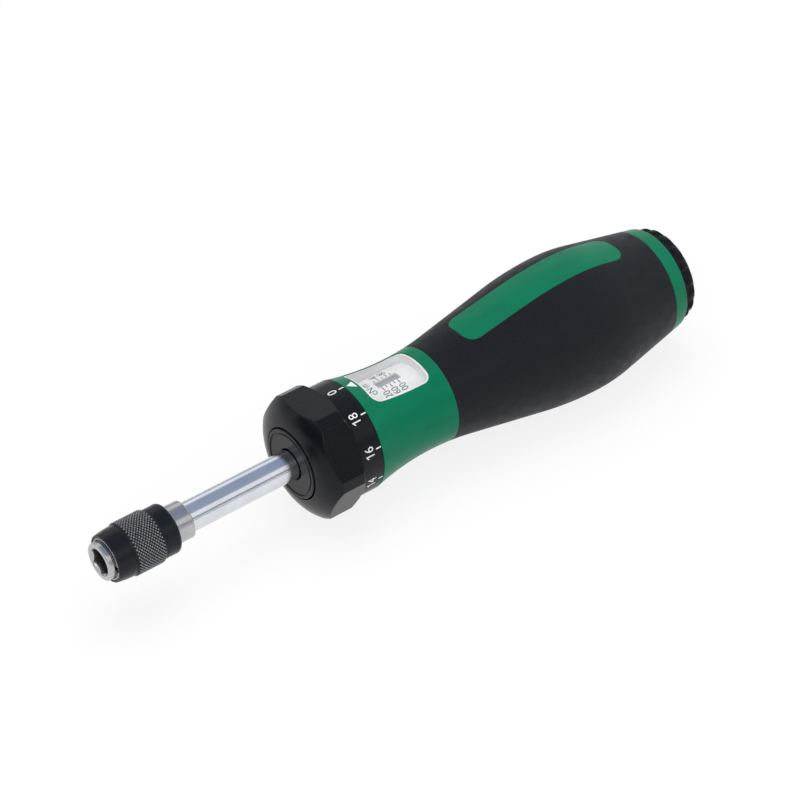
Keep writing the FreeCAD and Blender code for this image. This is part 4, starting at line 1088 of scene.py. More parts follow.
# ---------------------------------------------------------------------------------------------------- print
def flat_word(words, height, narrow=0.9):
    """Figures or letters as a flat mesh round the origin: reading along X, standing along Y."""
    curve = bpy.data.curves.new("word", "FONT")
    curve.body = words
    curve.resolution_u = 4
    carrier = bpy.data.objects.new("word", curve)
    bpy.context.scene.collection.objects.link(carrier)
    bpy.context.view_layer.update()
    mesh = bpy.data.meshes.new_from_object(carrier.evaluated_get(bpy.context.evaluated_depsgraph_get()))
    shape = bmesh.new()
    shape.from_mesh(mesh)
    bpy.data.objects.remove(carrier)
    bpy.data.curves.remove(curve)
    bpy.data.meshes.remove(mesh)
    lowest = [min(vert.co[axis] for vert in shape.verts) for axis in (0, 1)]
    highest = [max(vert.co[axis] for vert in shape.verts) for axis in (0, 1)]
    scale = height / (highest[1] - lowest[1])
    middle = Vector(((lowest[0] + highest[0]) / 2, (lowest[1] + highest[1]) / 2, 0.0))
    bmesh.ops.translate(shape, vec=-middle, verts=shape.verts)
    bmesh.ops.scale(shape, vec=(scale * narrow, scale, 1.0), verts=shape.verts)
    return shape


def flat_bar(width, length):
    """A plain bar: width along X, length along Y."""
    shape = bmesh.new()
    bmesh.ops.create_grid(shape, x_segments=1, y_segments=1, size=0.5)
    bmesh.ops.scale(shape, vec=(width, length, 1.0), verts=shape.verts)
    return shape


def stroke_of_one(figure):
    """The short upstroke of a leading figure one, which the plain typeface leaves out."""
    left = min(vert.co.x for vert in figure.verts)
    top = max(vert.co.y for vert in figure.verts)
    thick = top * 0.22
    stroke = flat_bar(thick, top * 0.7)
    bmesh.ops.rotate(stroke, verts=stroke.verts, cent=ORIGIN, matrix=Matrix.Rotation(-0.9, 3, "Z"))
    bmesh.ops.translate(stroke, verts=stroke.verts, vec=(left - thick * 0.75, top - thick * 1.55, 0.0))
    return stroke


def flat_arrow(width, length):
    """A plain triangle whose tip points along Y."""
    shape = flat_bar(width, length)
    for vert in shape.verts:
        if vert.co.y > 0:
            vert.co.x = 0.0
    bmesh.ops.remove_doubles(shape, verts=shape.verts, dist=TOUCH)
    return shape


def width_of(shape):
    """How far a flat mark reaches along X."""
    return max(vert.co.x for vert in shape.verts) - min(vert.co.x for vert in shape.verts)


def wrapped(shape, x, angle, surface, slide=0.0):
    """Lay a flat mark on a surface round the tool and give it the thickness of the print.

    The mark reads from the near side over the top, its upper side towards the chuck.
    """
    reach = 0.35 * MM
    bmesh.ops.translate(shape, vec=(slide, 0.0, 0.0), verts=shape.verts)
    for axis in (0, 1):
        lowest = min(vert.co[axis] for vert in shape.verts)
        highest = max(vert.co[axis] for vert in shape.verts)
        normal = (1, 0, 0) if axis == 0 else (0, 1, 0)
        for number in range(1, int((highest - lowest) / reach) + 1):
            spot = [0.0, 0.0, 0.0]
            spot[axis] = lowest + number * reach
            bmesh.ops.bisect_plane(shape, geom=shape.verts[:] + shape.edges[:] + shape.faces[:], dist=TOUCH,
                                   plane_co=spot, plane_no=normal)
    bmesh.ops.triangulate(shape, faces=shape.faces)
    made = bmesh.ops.extrude_face_region(shape, geom=shape.faces[:], use_keep_orig=True)
    for item in made["geom"]:
        if isinstance(item, bmesh.types.BMVert):
            item.co.z = 1.0
    for vert in shape.verts:
        place = x - vert.co.y
        lift = PRINT_RISE if vert.co.z > 0.5 else -PRINT_RISE
        radius = surface(place)
        vert.co = round_the_axis(place, radius + lift, angle - vert.co.x / radius)
    bmesh.ops.recalc_face_normals(shape, faces=shape.faces)
    return shape


def make_dial_marks():
    """The dial's ticks and figures."""
    sizes = bpy.context.scene.dial_sizes
    rear = high("dial_ring").x
    edge = rear - sizes.edge * 0.4

    def surface(x):
        return DIAL_RADIUS

    marks = []
    for number in range(sizes.divisions):
        angle = math.tau * number / sizes.divisions
        value = (sizes.divisions - number) % sizes.divisions * sizes.step
        tick = flat_bar(sizes.tick_width, sizes.tick_length)
        marks.append(wrapped(tick, edge - sizes.tick_length / 2, angle, surface))
        figure = flat_word(str(value), sizes.figure_height)
        if value >= 10:
            figure = joined([figure, stroke_of_one(figure)])
        place = edge - sizes.tick_length - sizes.figure_gap - sizes.figure_height / 2
        marks.append(wrapped(figure, place, angle, surface))
    return finish_piece(joined(marks), "dial_marks", "adjuster", FINISHES["white_print"])


def make_neck_arrow():
    """The white arrow on the neck that the dial is read against."""
    sizes = bpy.context.scene.dial_sizes
    form = handle_form()
    place = HANDLE_FRONT + sizes.pointer_gap + sizes.pointer_length / 2
    arrow = wrapped(flat_arrow(sizes.pointer_width, sizes.pointer_length), place, 0.0, form.radius)
    return finish_piece(arrow, "neck_arrow", "handle", FINISHES["white_print"])


def make_scale_marks():
    """The scale's ticks, figures and unit on the tray's floor."""
    sizes = bpy.context.scene.window_sizes
    floor = BARREL_RADIUS + 2 * SEAT + sizes.tray_floor
    edge = sizes.slot_width / 2 + 0.15 * MM
    gap = 0.3 * MM
    full_turns = 5
    turn_value = 20

    def surface(x):
        return floor

    marks = []
    for turn in range(1, full_turns + 1):
        x = low("torque_indicator").x + turn * sizes.turn_travel
        for side in (-1, 1):
            numbered = (turn % 2 == 1) == (side == -1)
            length = sizes.long_tick if numbered else sizes.short_tick
            marks.append(wrapped(flat_bar(length, sizes.tick_width), x, 0.0, surface,
                                 slide=side * (edge + length / 2)))
            if numbered:
                figure = flat_word(str(turn * turn_value), sizes.figure_height, narrow=0.8)
                slide = side * (edge + length + gap + width_of(figure) / 2)
                marks.append(wrapped(figure, x, 0.0, surface, slide=slide))
    unit = flat_word("cN·m", sizes.figure_height, narrow=0.85)
    ahead = low("torque_indicator").x - sizes.figure_height * 0.8
    marks.append(wrapped(unit, ahead, 0.0, surface))
    return finish_piece(joined(marks), "scale_marks", "handle", FINISHES["dark_print"])


# ------------------------------------------------------------------------------------- knob, disc and dial
class KnobForm:
    """The knob's shape: a hexagon with planed corners inside a turned outline."""

    def __init__(self, sizes):
        self.sizes = sizes
        corner = sizes.flat / math.cos(math.pi / 6)
        self.narrow = corner - sizes.corner_cut * math.cos(math.pi / 3)
        self.narrow_half = math.atan2(sizes.corner_cut * math.sin(math.pi / 3), self.narrow)
        start = Vector((KNOB_FRONT, sizes.recess_radius))
        end = Vector((KNOB_FRONT + sizes.crown_length, sizes.crown_radius))
        chord = end - start
        left = Vector((-chord.y, chord.x)).normalized()
        rise = math.sqrt(sizes.crown_round ** 2 - chord.length_squared / 4)
        self.centre = (start + end) / 2 - left * rise

    def angles(self):
        """Angles for the columns: even over the flats, close together over the edges between them."""
        swing = self.sizes.flat_edge * math.tan(math.pi / 12) / self.narrow
        spots = []
        for corner in range(6):
            middle = math.pi / 6 + corner * math.pi / 3
            before = middle - self.narrow_half
            after = middle + self.narrow_half
            flat_start = middle - math.pi / 3 + self.narrow_half
            spots += between(flat_start + swing, before - swing, 40)[:-1]
            spots += between(before - swing, before + swing, 5)[:-1]
            spots += between(before + swing, after - swing, 8)[:-1]
            spots += between(after - swing, after + swing, 5)[:-1]
        return spots

    def reach(self, angle):
        """How far the side stands from the axis, its edges rounded."""
        sixth = math.pi / 3
        off = (angle + sixth / 2) % sixth - sixth / 2
        broad = self.sizes.flat / math.cos(off)
        other = sixth / 2 - abs(off)
        narrow = self.narrow / math.cos(other)
        blend = self.sizes.flat_edge * 0.02
        soft = (broad + narrow - math.sqrt((broad - narrow) ** 2 + blend ** 2)) / 2
        return min(soft, self.sizes.crown_radius)

    def crown(self, radius):
        """Where the crowned front stands at a radius."""
        return self.centre.x - math.sqrt(self.sizes.crown_round ** 2 - (radius - self.centre.y) ** 2)

    def outline(self, angle):
        """The closed outline of the knob at an angle."""
        sizes = self.sizes
        side = self.reach(angle)
        lip = sizes.recess_radius + 0.18 * MM
        lip_reach = 0.3 * MM
        soft = 0.12 * MM
        back = KNOB_END
        slope = (sizes.crown_radius - sizes.back_radius) / sizes.back_length
        chamfer = min(back - (side - sizes.back_radius) / slope, back - soft)
        crown_end = side - 0.25 * MM
        crown = [(self.crown(radius), radius) for radius in between(lip, crown_end, 14)]
        shoulder = rounded([
            (self.crown(crown_end), crown_end, 0),
            (self.crown(side), side, sizes.crown_edge),
            (back - 3 * MM, side, 0),
        ], steps=5)[1:-1]
        flat = [(x, side) for x in between(shoulder[-1][0], chamfer - 0.15 * MM, 6)[1:]]
        low_edge = min(side - soft, sizes.back_radius)
        tail = rounded([
            (chamfer - 1 * MM, side, 0),
            (chamfer, side, soft),
            (back, low_edge, 0.1 * MM),
            (back, sizes.stem_bore, 0),
        ])[1:]
        floor = KNOB_FRONT + 1.72 * MM
        inside = [(floor, sizes.stem_bore), (floor, sizes.recess_radius),
                  (KNOB_FRONT + lip_reach, sizes.recess_radius)]
        lip_round = arc(inside[-1], crown[0], lip_reach, 1, 4)[:-1]
        return inside + lip_round + crown + shoulder + flat + tail


def make_knob():
    """The hexagon knob."""
    form = KnobForm(bpy.context.scene.knob_sizes)
    return finish_piece(lathe(form.outline, form.angles()), "hexagon_knob", "adjuster",
                        FINISHES["black_knob"], ["adjuster_knob"])


def make_lock_disc():
    """The lock disc in the knob's face, with its groove and its hole."""
    sizes = bpy.context.scene.knob_sizes
    front = low("knob_front_cap").x
    back = front + sizes.disc_width
    groove = sizes.disc_radius - 1.1 * MM
    groove_floor = front + 0.3 * MM
    groove_half = 0.35 * MM
    floor_half = 0.2 * MM
    outline = rounded([
        (back, sizes.disc_hole, 0),
        (front, sizes.disc_hole, 0.3 * MM),
        (front, groove - groove_half, 0.08 * MM),
        (groove_floor, groove - floor_half, 0.05 * MM),
        (groove_floor, groove + floor_half, 0.05 * MM),
        (front, groove + groove_half, 0.08 * MM),
        (front, sizes.disc_radius, 0.25 * MM),
        (back, sizes.disc_radius, 0),
    ])
    return finish_piece(spun(outline), "lock_disc", "adjuster", FINISHES["black_knob"],
                        ["knob_front_cap"])


def make_dial():
    """The dial ring behind the knob."""
    sizes = bpy.context.scene.dial_sizes
    front = low("dial_ring").x
    back = high("dial_ring").x
    outline = rounded([
        (front, DIAL_RADIUS - sizes.wall, 0),
        (front, DIAL_RADIUS, sizes.edge),
        (back, DIAL_RADIUS, sizes.edge),
        (back, DIAL_RADIUS - sizes.wall, 0),
    ], steps=4)
    return finish_piece(spun(outline), "setting_dial", "adjuster", FINISHES["black_dial"],
                        ["dial_ring"])


# ----------------------------------------------------------------------------------- chuck, sleeve and shaft
def make_chuck():
    """The chuck with its hexagon socket, countersunk mouth, ring groove and collar."""
    sizes = bpy.context.scene.chuck_sizes
    sixth = math.pi / 3
    mouth = sizes.socket_flat + sizes.socket_flare
    groove = sizes.radius - sizes.ring_groove
    ring_end = sizes.ring_place + sizes.ring_width
    collar = high("chuck_body").y
    collar_end = sizes.collar_place + sizes.collar_width
    end = high("chuck_body").x
    bore = SHAFT_RADIUS + SEAT
    bore_end = low("output_shaft").x - SEAT
    outer = rounded([
        (0.0, mouth, 0.08 * MM),
        (0.0, sizes.radius, sizes.edge),
        (sizes.ring_place, sizes.radius, 0.05 * MM),
        (sizes.ring_place, groove, 0),
        (ring_end, groove, 0),
        (ring_end, sizes.radius, 0.05 * MM),
        (sizes.collar_place, sizes.radius, 0),
        (sizes.collar_place, collar, 0.12 * MM),
        (collar_end, collar, 0.12 * MM),
        (collar_end, sizes.radius, 0),
        (end, sizes.radius, sizes.edge),
        (end, bore, 0.1 * MM),
        (bore_end, bore, 0),
        (bore_end, 0.0, 0),
    ])

    def outline(angle):
        off = (angle % sixth) - sixth / 2
        wall = sizes.socket_flat / math.cos(off)
        flare = mouth - wall
        floor = sizes.socket_depth
        socket = [(floor, 0.0), (floor, wall * 0.5), (floor, wall)]
        socket += [(x, wall) for x in between(floor, flare + 0.12 * MM, 5)[1:]]
        socket += [(flare + 0.05 * MM, wall + 0.02 * MM), (flare - 0.05 * MM, wall + 0.05 * MM)]
        return socket + outer

    shape = lathe(outline, even_angles(ROUND), closed=False)
    return finish_piece(shape, "chuck_nose", "spindle", FINISHES["satin_steel"],
                        ["chuck_body"])


def make_snap_ring():
    """The split ring of round wire in the nose groove."""
    sizes = bpy.context.scene.chuck_sizes
    wire = sizes.ring_width / 2 - SEAT
    middle = sizes.radius + sizes.ring_rise - wire
    split = math.asin(sizes.ring_split / 2 / middle)
    x = sizes.ring_place + sizes.ring_width / 2
    shape = bmesh.new()
    section = bmesh.ops.create_circle(shape, segments=12, radius=wire)["verts"]
    bmesh.ops.rotate(shape, verts=section, cent=ORIGIN, matrix=Matrix.Rotation(math.pi / 2, 3, "X"))
    bmesh.ops.translate(shape, verts=section, vec=(x, 0.0, middle))
    bmesh.ops.rotate(shape, verts=section, cent=ORIGIN, matrix=Matrix.Rotation(math.pi / 2 + split, 3, "X"))
    bmesh.ops.spin(shape, geom=shape.verts[:] + shape.edges[:], cent=ORIGIN, axis=X_AXIS, dvec=ORIGIN,
                   angle=math.tau - 2 * split, steps=96)
    bmesh.ops.holes_fill(shape, edges=[edge for edge in shape.edges if edge.is_boundary])
    return finish_piece(tidy_shape(shape), "nose_ring", "spindle", FINISHES["spring_steel"],
                        ["sleeve_snap_ring"])


def knurl_height(along, around):
    """Height of a diamond knurl between its grooves (0) and its flat crests (1)."""
    first = abs((along + around + 0.5) % 1.0 - 0.5) * 2
    second = abs((along - around + 0.5) % 1.0 - 0.5) * 2
    return min(1.0, 1.7 * min(first, second))


def make_sleeve():
    """The knurled release sleeve."""
    sizes = bpy.context.scene.chuck_sizes
    front = low("release_sleeve").x
    end = high("release_sleeve").x
    crest = high("release_sleeve").y
    mouth = sizes.radius + sizes.ring_rise + RUNNING_GAP
    bore = sizes.radius + RUNNING_GAP
    shoulder = sizes.ring_place + sizes.ring_width + RUNNING_GAP
    nose_end = front + sizes.nose_length
    ball = (low("retaining_ball") + high("retaining_ball")) / 2
    relief = sizes.radius + 0.7 * MM
    ramp_end = ball.x - 3.0 * MM
    relief_end = ball.x - 4.2 * MM
    chamber = high("chuck_body").y + RUNNING_GAP
    land = low("sleeve_spring").x - RUNNING_GAP
    lip = front + 0.15 * MM
    nose_bow = sizes.nose_length * 6
    nose_groove = sizes.nose_radius - 0.2 * MM
    band_groove = sizes.band_radius - 0.12 * MM
    cells = 7
    rows = sizes.knurl_rows * cells
    knurl_xs = between(sizes.knurl_start, sizes.knurl_end, rows)
    nose = arc((lip, sizes.mouth_radius), (nose_end, sizes.nose_radius), nose_bow, 1, 10)
    front_part = [(shoulder, bore), (shoulder, mouth), (front + 0.1 * MM, mouth), (front, mouth + 0.1 * MM),
                  (front, sizes.mouth_radius - 0.12 * MM), (lip, sizes.mouth_radius)] + nose
    front_part += rounded([
        (nose_end, sizes.nose_radius, 0),
        (sizes.knurl_start - 0.55 * MM, sizes.nose_radius, 0.06 * MM),
        (sizes.knurl_start - 0.45 * MM, nose_groove, 0),
        (sizes.knurl_start - 0.25 * MM, nose_groove, 0),
    ])[1:]
    rear_part = rounded([
        (sizes.knurl_end + 0.35 * MM, band_groove, 0),
        (sizes.knurl_end + 0.55 * MM, band_groove, 0),
        (sizes.knurl_end + 0.65 * MM, sizes.band_radius, 0.08 * MM),
        (end - sizes.tail_round, sizes.band_radius, 0),
    ])[:-1]
    rear_part += [(end - sizes.tail_round, sizes.band_radius)]
    rear_part += arc(rear_part[-1], (end, chamber + 0.3 * MM), sizes.tail_round, 1, 8)
    rear_part += [(end - 0.02 * MM, chamber + 0.08 * MM), (end - 0.2 * MM, chamber),
                  (land, chamber), (land, bore), (ball.x, bore),
                  (ramp_end, relief), (relief_end, relief), (relief_end, bore)]

    def outline(angle):
        around = angle / math.tau * sizes.knurl_count
        band = []
        for number, x in enumerate(knurl_xs):
            height = knurl_height(number / cells, around)
            ends = min(number, rows - number, 2) / 2
            band.append((x, crest - sizes.knurl_depth * (1 - height * ends)))
        return front_part + band + rear_part

    shape = lathe(outline, even_angles(sizes.knurl_count * cells))
    piece = finish_piece(shape, "knurled_sleeve", "sleeve", FINISHES["black_oxide"],
                         ["release_sleeve"], crease=70)
    # The attribute marks the knurl's crests and the rear inner lip for a lighter colour: partly real wear,
    # partly painted highlight.
    wear_and_highlight = piece.data.attributes.new("wear_and_highlight", "FLOAT", "POINT")
    for number, vert in enumerate(piece.data.vertices):
        radius = math.hypot(vert.co.y, vert.co.z)
        worn_and_highlit = max(0.0, 1 - (crest - radius) / (sizes.knurl_depth * 0.25))
        in_band = sizes.knurl_start < vert.co.x < sizes.knurl_end
        on_rim = vert.co.x > end - 0.3 * MM and radius < chamber + 0.45 * MM
        wear_and_highlight.data[number].value = worn_and_highlit if in_band else float(on_rim)
    return piece


def make_shaft():
    """The polished output shaft."""
    start = low("output_shaft").x
    end = high("output_shaft").x
    outline = rounded([
        (start, 0.0, 0),
        (start, SHAFT_RADIUS, 0.3 * MM),
        (end, SHAFT_RADIUS, 0.3 * MM),
        (end, 0.0, 0),
    ])
    return finish_piece(spun(outline, closed=False), "drive_shaft", "spindle",
                        FINISHES["chrome_shaft"], ["output_shaft"])


# ------------------------------------------------------------------------------------------------ end cap
def make_cap():
    """The swivel cap with its scalloped rim, and the disc in its end."""
    sizes = bpy.context.scene.cap_sizes
    rim = CAP_START + sizes.rim_place
    cover = high("cap_cover").y + SEAT
    seat = low("cap_cover").x - SEAT
    head = high("cap_screw").y + RUNNING_GAP
    head_place = high("cap_screw").x - 1.35 * MM
    centre = sizes.rim_radius + sizes.scallop_radius - sizes.scallop_depth
    pitch = math.tau / sizes.scallops
    soft = 0.12 * MM
    groove = rim - 0.3 * MM
    groove_radius = sizes.rim_radius - 0.45 * MM
    round_start = CAP_END - sizes.end_round
    crown = [(round_start, sizes.rim_radius)]
    crown += arc(crown[0], (CAP_END, sizes.end_radius), sizes.end_round, 1, 9)
    front = rounded([
        (head_place, sizes.axle_bore, 0),
        (CAP_START, sizes.axle_bore, 0),
        (CAP_START, sizes.front_radius, 0.15 * MM),
        (groove, sizes.front_radius, 0.1 * MM),
        (groove, groove_radius, 0),
        (rim, groove_radius, 0),
    ])[:-1]
    back = [(CAP_END, cover + 0.15 * MM), (CAP_END - 0.15 * MM, cover), (seat, cover), (seat, head),
            (head_place, head)]

    def scallop(radius, angle):
        off = (angle + pitch / 2) % pitch - pitch / 2
        side = centre * math.sin(off)
        if abs(side) >= sizes.scallop_radius:
            return radius
        valley = centre * math.cos(off) - math.sqrt(sizes.scallop_radius ** 2 - side ** 2)
        gap = radius - valley
        return (radius + valley - math.sqrt(gap ** 2 + soft ** 2)) / 2 if gap > -4 * soft else radius

    def outline(angle):
        cut = [(x, scallop(radius, angle)) for x, radius in [(rim + 0.05 * MM, sizes.rim_radius)] + crown]
        return front + cut + back

    finish_piece(lathe(outline, even_angles(sizes.scallops * 20)), "scalloped_cap", "cap",
                 FINISHES["black_cap"], ["end_cap"])
    disc_front = low("cap_cover").x
    disc_radius = high("cap_cover").y
    dish = CAP_END - 0.18 * MM
    disc = rounded([
        (disc_front, 0.0, 0),
        (disc_front, disc_radius, 0),
        (CAP_END, disc_radius, 0.15 * MM),
        (CAP_END, disc_radius - 1.2 * MM, 0.1 * MM),
        (dish, disc_radius - 1.45 * MM, 0.1 * MM),
        (dish, 0.0, 0),
    ])
    return finish_piece(spun(disc, closed=False), "cap_disc", "cap", FINISHES["black_cap"],
                        ["cap_cover"])


# ------------------------------------------------------------------------------------------------ springs
def coil(start, end, middle, wire, turns, steps=28):
    """A helical spring of round wire between two places along X."""
    shape = bmesh.new()
    section = bmesh.ops.create_circle(shape, segments=12, radius=wire / 2)["verts"]
    bmesh.ops.rotate(shape, verts=section, cent=ORIGIN, matrix=Matrix.Rotation(math.pi / 2, 3, "X"))
    bmesh.ops.translate(shape, verts=section, vec=(start + wire / 2, 0.0, middle))
    count = round(turns * steps)
    advance = (end - start - wire) / count
    bmesh.ops.spin(shape, geom=shape.verts[:] + shape.edges[:], cent=ORIGIN, axis=X_AXIS,
                   dvec=(advance, 0.0, 0.0), angle=turns * math.tau, steps=count)
    bmesh.ops.holes_fill(shape, edges=[edge for edge in shape.edges if edge.is_boundary])
    return tidy_shape(shape)


def make_springs():
    """The force spring, and the small spring inside the sleeve."""
    for name, node, body, joint, wire, turns, anchor in (
        ("force_spring", "main_spring", "handle", "follower_travel", 2.2 * MM, 7, high("main_spring").x),
        ("sleeve_coil", "sleeve_spring", "spindle", "sleeve_slide", 0.5 * MM, 4, high("sleeve_spring").x),
    ):
        start = low(node).x
        end = high(node).x
        middle = high(node).y - wire / 2
        piece = finish_piece(coil(start, end, middle, wire, turns), name, body,
                             FINISHES["spring_steel"], [node])
        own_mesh(piece)


def dress_frame():
    """Give each node of the frame that stays in view its finish."""
    slots = {part["node"]: part["material_slot"] for part in frame["record"]["subparts"]}
    for node, piece in frame["nodes"].items():
        piece.data.materials.clear()
        piece.data.materials.append(FINISHES[slots[node]])


# -------------------------------------------------------------------------------------------------- stage
def seen_plainly(tree):
    """1 for rays that see the background: from the camera, a gloss or a clear piece."""
    path = tree.nodes.new("ShaderNodeLightPath")
    total = path.outputs["Is Camera Ray"]
    for name in ("Is Glossy Ray", "Is Transmission Ray"):
        most = tree.nodes.new("ShaderNodeMath")
        most.operation = "MAXIMUM"
        tree.links.new(total, most.inputs[0])
        tree.links.new(path.outputs[name], most.inputs[1])
        total = most.outputs["Value"]
    return total


def make_world(settings):
    """Plain white light from all round, and a white background."""
    world = bpy.data.worlds.new("studio")
    bpy.context.scene.world = world
    world.use_nodes = True
    tree = world.node_tree
    light = tree.nodes["Background"]
    light.inputs["Color"].default_value = (1.0, 1.0, 1.0, 1.0)
    light.inputs["Strength"].default_value = settings.world
    white = tree.nodes.new("ShaderNodeBackground")
    white.inputs["Color"].default_value = (1.0, 1.0, 1.0, 1.0)
    white.inputs["Strength"].default_value = 1.0
    mix = tree.nodes.new("ShaderNodeMixShader")
    tree.links.new(seen_plainly(tree), mix.inputs["Fac"])
    tree.links.new(light.outputs["Background"], mix.inputs[1])
    tree.links.new(white.outputs["Background"], mix.inputs[2])
    tree.links.new(mix.outputs["Shader"], tree.nodes["World Output"].inputs["Surface"])


def make_floor(settings):
    """A plain pale floor that keeps a light shadow."""
    shape = bmesh.new()
    bmesh.ops.create_grid(shape, x_segments=1, y_segments=1, size=settings.floor_size)
    bmesh.ops.translate(shape, verts=shape.verts, vec=(0.0, 0.0, low("grip_sleeve").z - 0.02 * MM))
    mesh = bpy.data.meshes.new("floor")
    shape.to_mesh(mesh)
    shape.free()
    floor = bpy.data.objects.new("floor", mesh)
    bpy.context.scene.collection.objects.link(floor)
    material = bpy.data.materials.new("pale_floor")
    material.use_nodes = True
    tree = material.node_tree
    paper = tree.nodes["Principled BSDF"]
    paper.inputs["Base Color"].default_value = (0.85, 0.85, 0.85, 1.0)
    paper.inputs["Roughness"].default_value = 0.8
    paper.inputs["Specular IOR Level"].default_value = 0.0
    glow = tree.nodes.new("ShaderNodeEmission")
    glow.inputs["Strength"].default_value = 1.04
    share = tree.nodes.new("ShaderNodeMath")
    share.operation = "MULTIPLY"
    share.inputs[1].default_value = 0.8
    tree.links.new(seen_plainly(tree), share.inputs[0])
    mix = tree.nodes.new("ShaderNodeMixShader")
    tree.links.new(share.outputs["Value"], mix.inputs["Fac"])
    tree.links.new(paper.outputs["BSDF"], mix.inputs[1])
    tree.links.new(glow.outputs["Emission"], mix.inputs[2])
    tree.links.new(mix.outputs["Shader"], tree.nodes["Material Output"].inputs["Surface"])
    mesh.materials.append(material)


def make_lamps(settings):
    """Large soft lamps: one above, one beyond the chuck and one beyond the cap."""
    target = Vector(settings.target)
    for name, offset, size, power in (
        ("top_lamp", (0.1, 0.15, 1.0), (0.9, 0.9), 6.0),
        ("front_lamp", (-0.9, -0.7, 0.5), (0.5, 0.9), 3.5),
        ("side_lamp", (0.9, -0.6, 0.35), (0.5, 0.7), 2.5),
    ):
        lamp = bpy.data.lights.new(name, "AREA")
        lamp.shape = "RECTANGLE"
        lamp.size, lamp.size_y = size
        lamp.energy = power * settings.lamp
        holder = bpy.data.objects.new(name, lamp)
        holder.location = target + Vector(offset)
        holder.rotation_euler = Vector(offset).to_track_quat("Z", "Y").to_euler()
        holder.visible_glossy = name == "front_lamp"
        bpy.context.scene.collection.objects.link(holder)


def make_flags(settings):
    """Glowing cards that only glossy rays see, painting reflections: one overhead, one in front, and thin
    ones along both sides.
    """
    target = Vector(settings.target)
    for name, offset, size, shade in (
        ("overhead_reflection_card", (0.05, 0.0, 0.9), (0.7, 0.5), (0.34, 0.4, 0.52)),
        ("front_reflection_card", (-0.95, -0.1, 0.12), (0.8, 0.42), (0.05, 0.06, 0.09)),
        ("side_reflection_card", (0.2, -0.95, 0.25), (0.9, 0.09), (0.2, 0.22, 0.28)),
        ("horizon_reflection_card", (0.2, -0.95, 0.02), (0.9, 0.025), (0.02, 0.025, 0.035)),
        ("far_side_reflection_card", (0.0, 0.95, 0.25), (0.9, 0.09), (0.2, 0.22, 0.28)),
        ("far_horizon_reflection_card", (0.0, 0.95, 0.02), (0.9, 0.025), (0.02, 0.025, 0.035)),
    ):
        shape = bmesh.new()
        bmesh.ops.create_grid(shape, x_segments=1, y_segments=1, size=1.0)
        bmesh.ops.scale(shape, vec=(size[0], size[1], 1.0), verts=shape.verts)
        turn = Vector(offset).to_track_quat("Z", "Y").to_matrix()
        bmesh.ops.rotate(shape, verts=shape.verts, cent=ORIGIN, matrix=turn)
        bmesh.ops.translate(shape, verts=shape.verts, vec=target + Vector(offset))
        mesh = bpy.data.meshes.new(name)
        shape.to_mesh(mesh)
        shape.free()
        material = bpy.data.materials.new(name)
        material.use_nodes = True
        card = material.node_tree.nodes["Principled BSDF"]
        card.inputs["Base Color"].default_value = (0.0, 0.0, 0.0, 1.0)
        card.inputs["Specular IOR Level"].default_value = 0.0
        # Each card glows with its tone: a painted reflection that lights nothing and casts no shadow.
        card.inputs["Emission Color"].default_value = (*shade, 1.0)
        card.inputs["Emission Strength"].default_value = 1.0
        mesh.materials.append(material)
        reflection_card = bpy.data.objects.new(name, mesh)
        bpy.context.scene.collection.objects.link(reflection_card)
        reflection_card.visible_camera = False
        reflection_card.visible_diffuse = False
        reflection_card.visible_transmission = False
        reflection_card.visible_shadow = False


def make_camera(settings):
    """The camera, at its place round the tool."""
    back = Vector((
        math.sin(settings.azimuth) * math.cos(settings.elevation),
        -math.cos(settings.azimuth) * math.cos(settings.elevation),
        math.sin(settings.elevation),
    ))
    data = bpy.data.cameras.new("camera")
    data.lens = settings.lens
    data.clip_start = 0.01
    data.clip_end = 20.0
    camera = bpy.data.objects.new("camera", data)
    bpy.context.scene.collection.objects.link(camera)
    camera.rotation_mode = "QUATERNION"
    camera.rotation_quaternion = (-back).to_track_quat("-Z", "Y") @ Quaternion((0.0, 0.0, 1.0), settings.roll)
    camera.location = Vector(settings.target) + back * settings.distance
    bpy.context.scene.camera = camera


# ----------------------------------------------------------------------------------------------- operators
class SCREWDRIVER_OT_finishes(Operator):
    """Make the finishes and dress the frame's nodes with them"""

    bl_idname = "screwdriver.finishes"
    bl_label = "Finishes"

    def execute(self, context):
        FINISHES.update(make_finishes(context.scene.finish_colours))
        dress_frame()
        return {"FINISHED"}


class SCREWDRIVER_OT_chuck(Operator):
    """Make the bit chuck and its snap ring"""

    bl_idname = "screwdriver.chuck"
    bl_label = "Chuck"

    def execute(self, context):
        make_chuck()
        make_snap_ring()
        return {"FINISHED"}


class SCREWDRIVER_OT_sleeve(Operator):
    """Make the knurled release sleeve"""

    bl_idname = "screwdriver.sleeve"
    bl_label = "Sleeve"

    def execute(self, context):
        make_sleeve()
        return {"FINISHED"}


class SCREWDRIVER_OT_shaft(Operator):
    """Make the output shaft"""

    bl_idname = "screwdriver.shaft"
    bl_label = "Shaft"

    def execute(self, context):
        make_shaft()
        return {"FINISHED"}


class SCREWDRIVER_OT_knob(Operator):
    """Make the hexagon knob and its lock disc"""

    bl_idname = "screwdriver.knob"
    bl_label = "Knob"

    def execute(self, context):
        make_knob()
        make_lock_disc()
        return {"FINISHED"}


class SCREWDRIVER_OT_dial(Operator):
    """Make the dial ring, its figures and the arrow that they are read against"""

    bl_idname = "screwdriver.dial"
    bl_label = "Dial"

    def execute(self, context):
        make_dial()
        make_dial_marks()
        make_neck_arrow()
        return {"FINISHED"}


class SCREWDRIVER_OT_handle(Operator):
    """Make the green core, its stripes and the soft grip"""

    bl_idname = "screwdriver.handle"
    bl_label = "Handle"

    def execute(self, context):
        make_green_neck()
        make_green_stripes()
        make_green_core()
        make_grip()
        return {"FINISHED"}


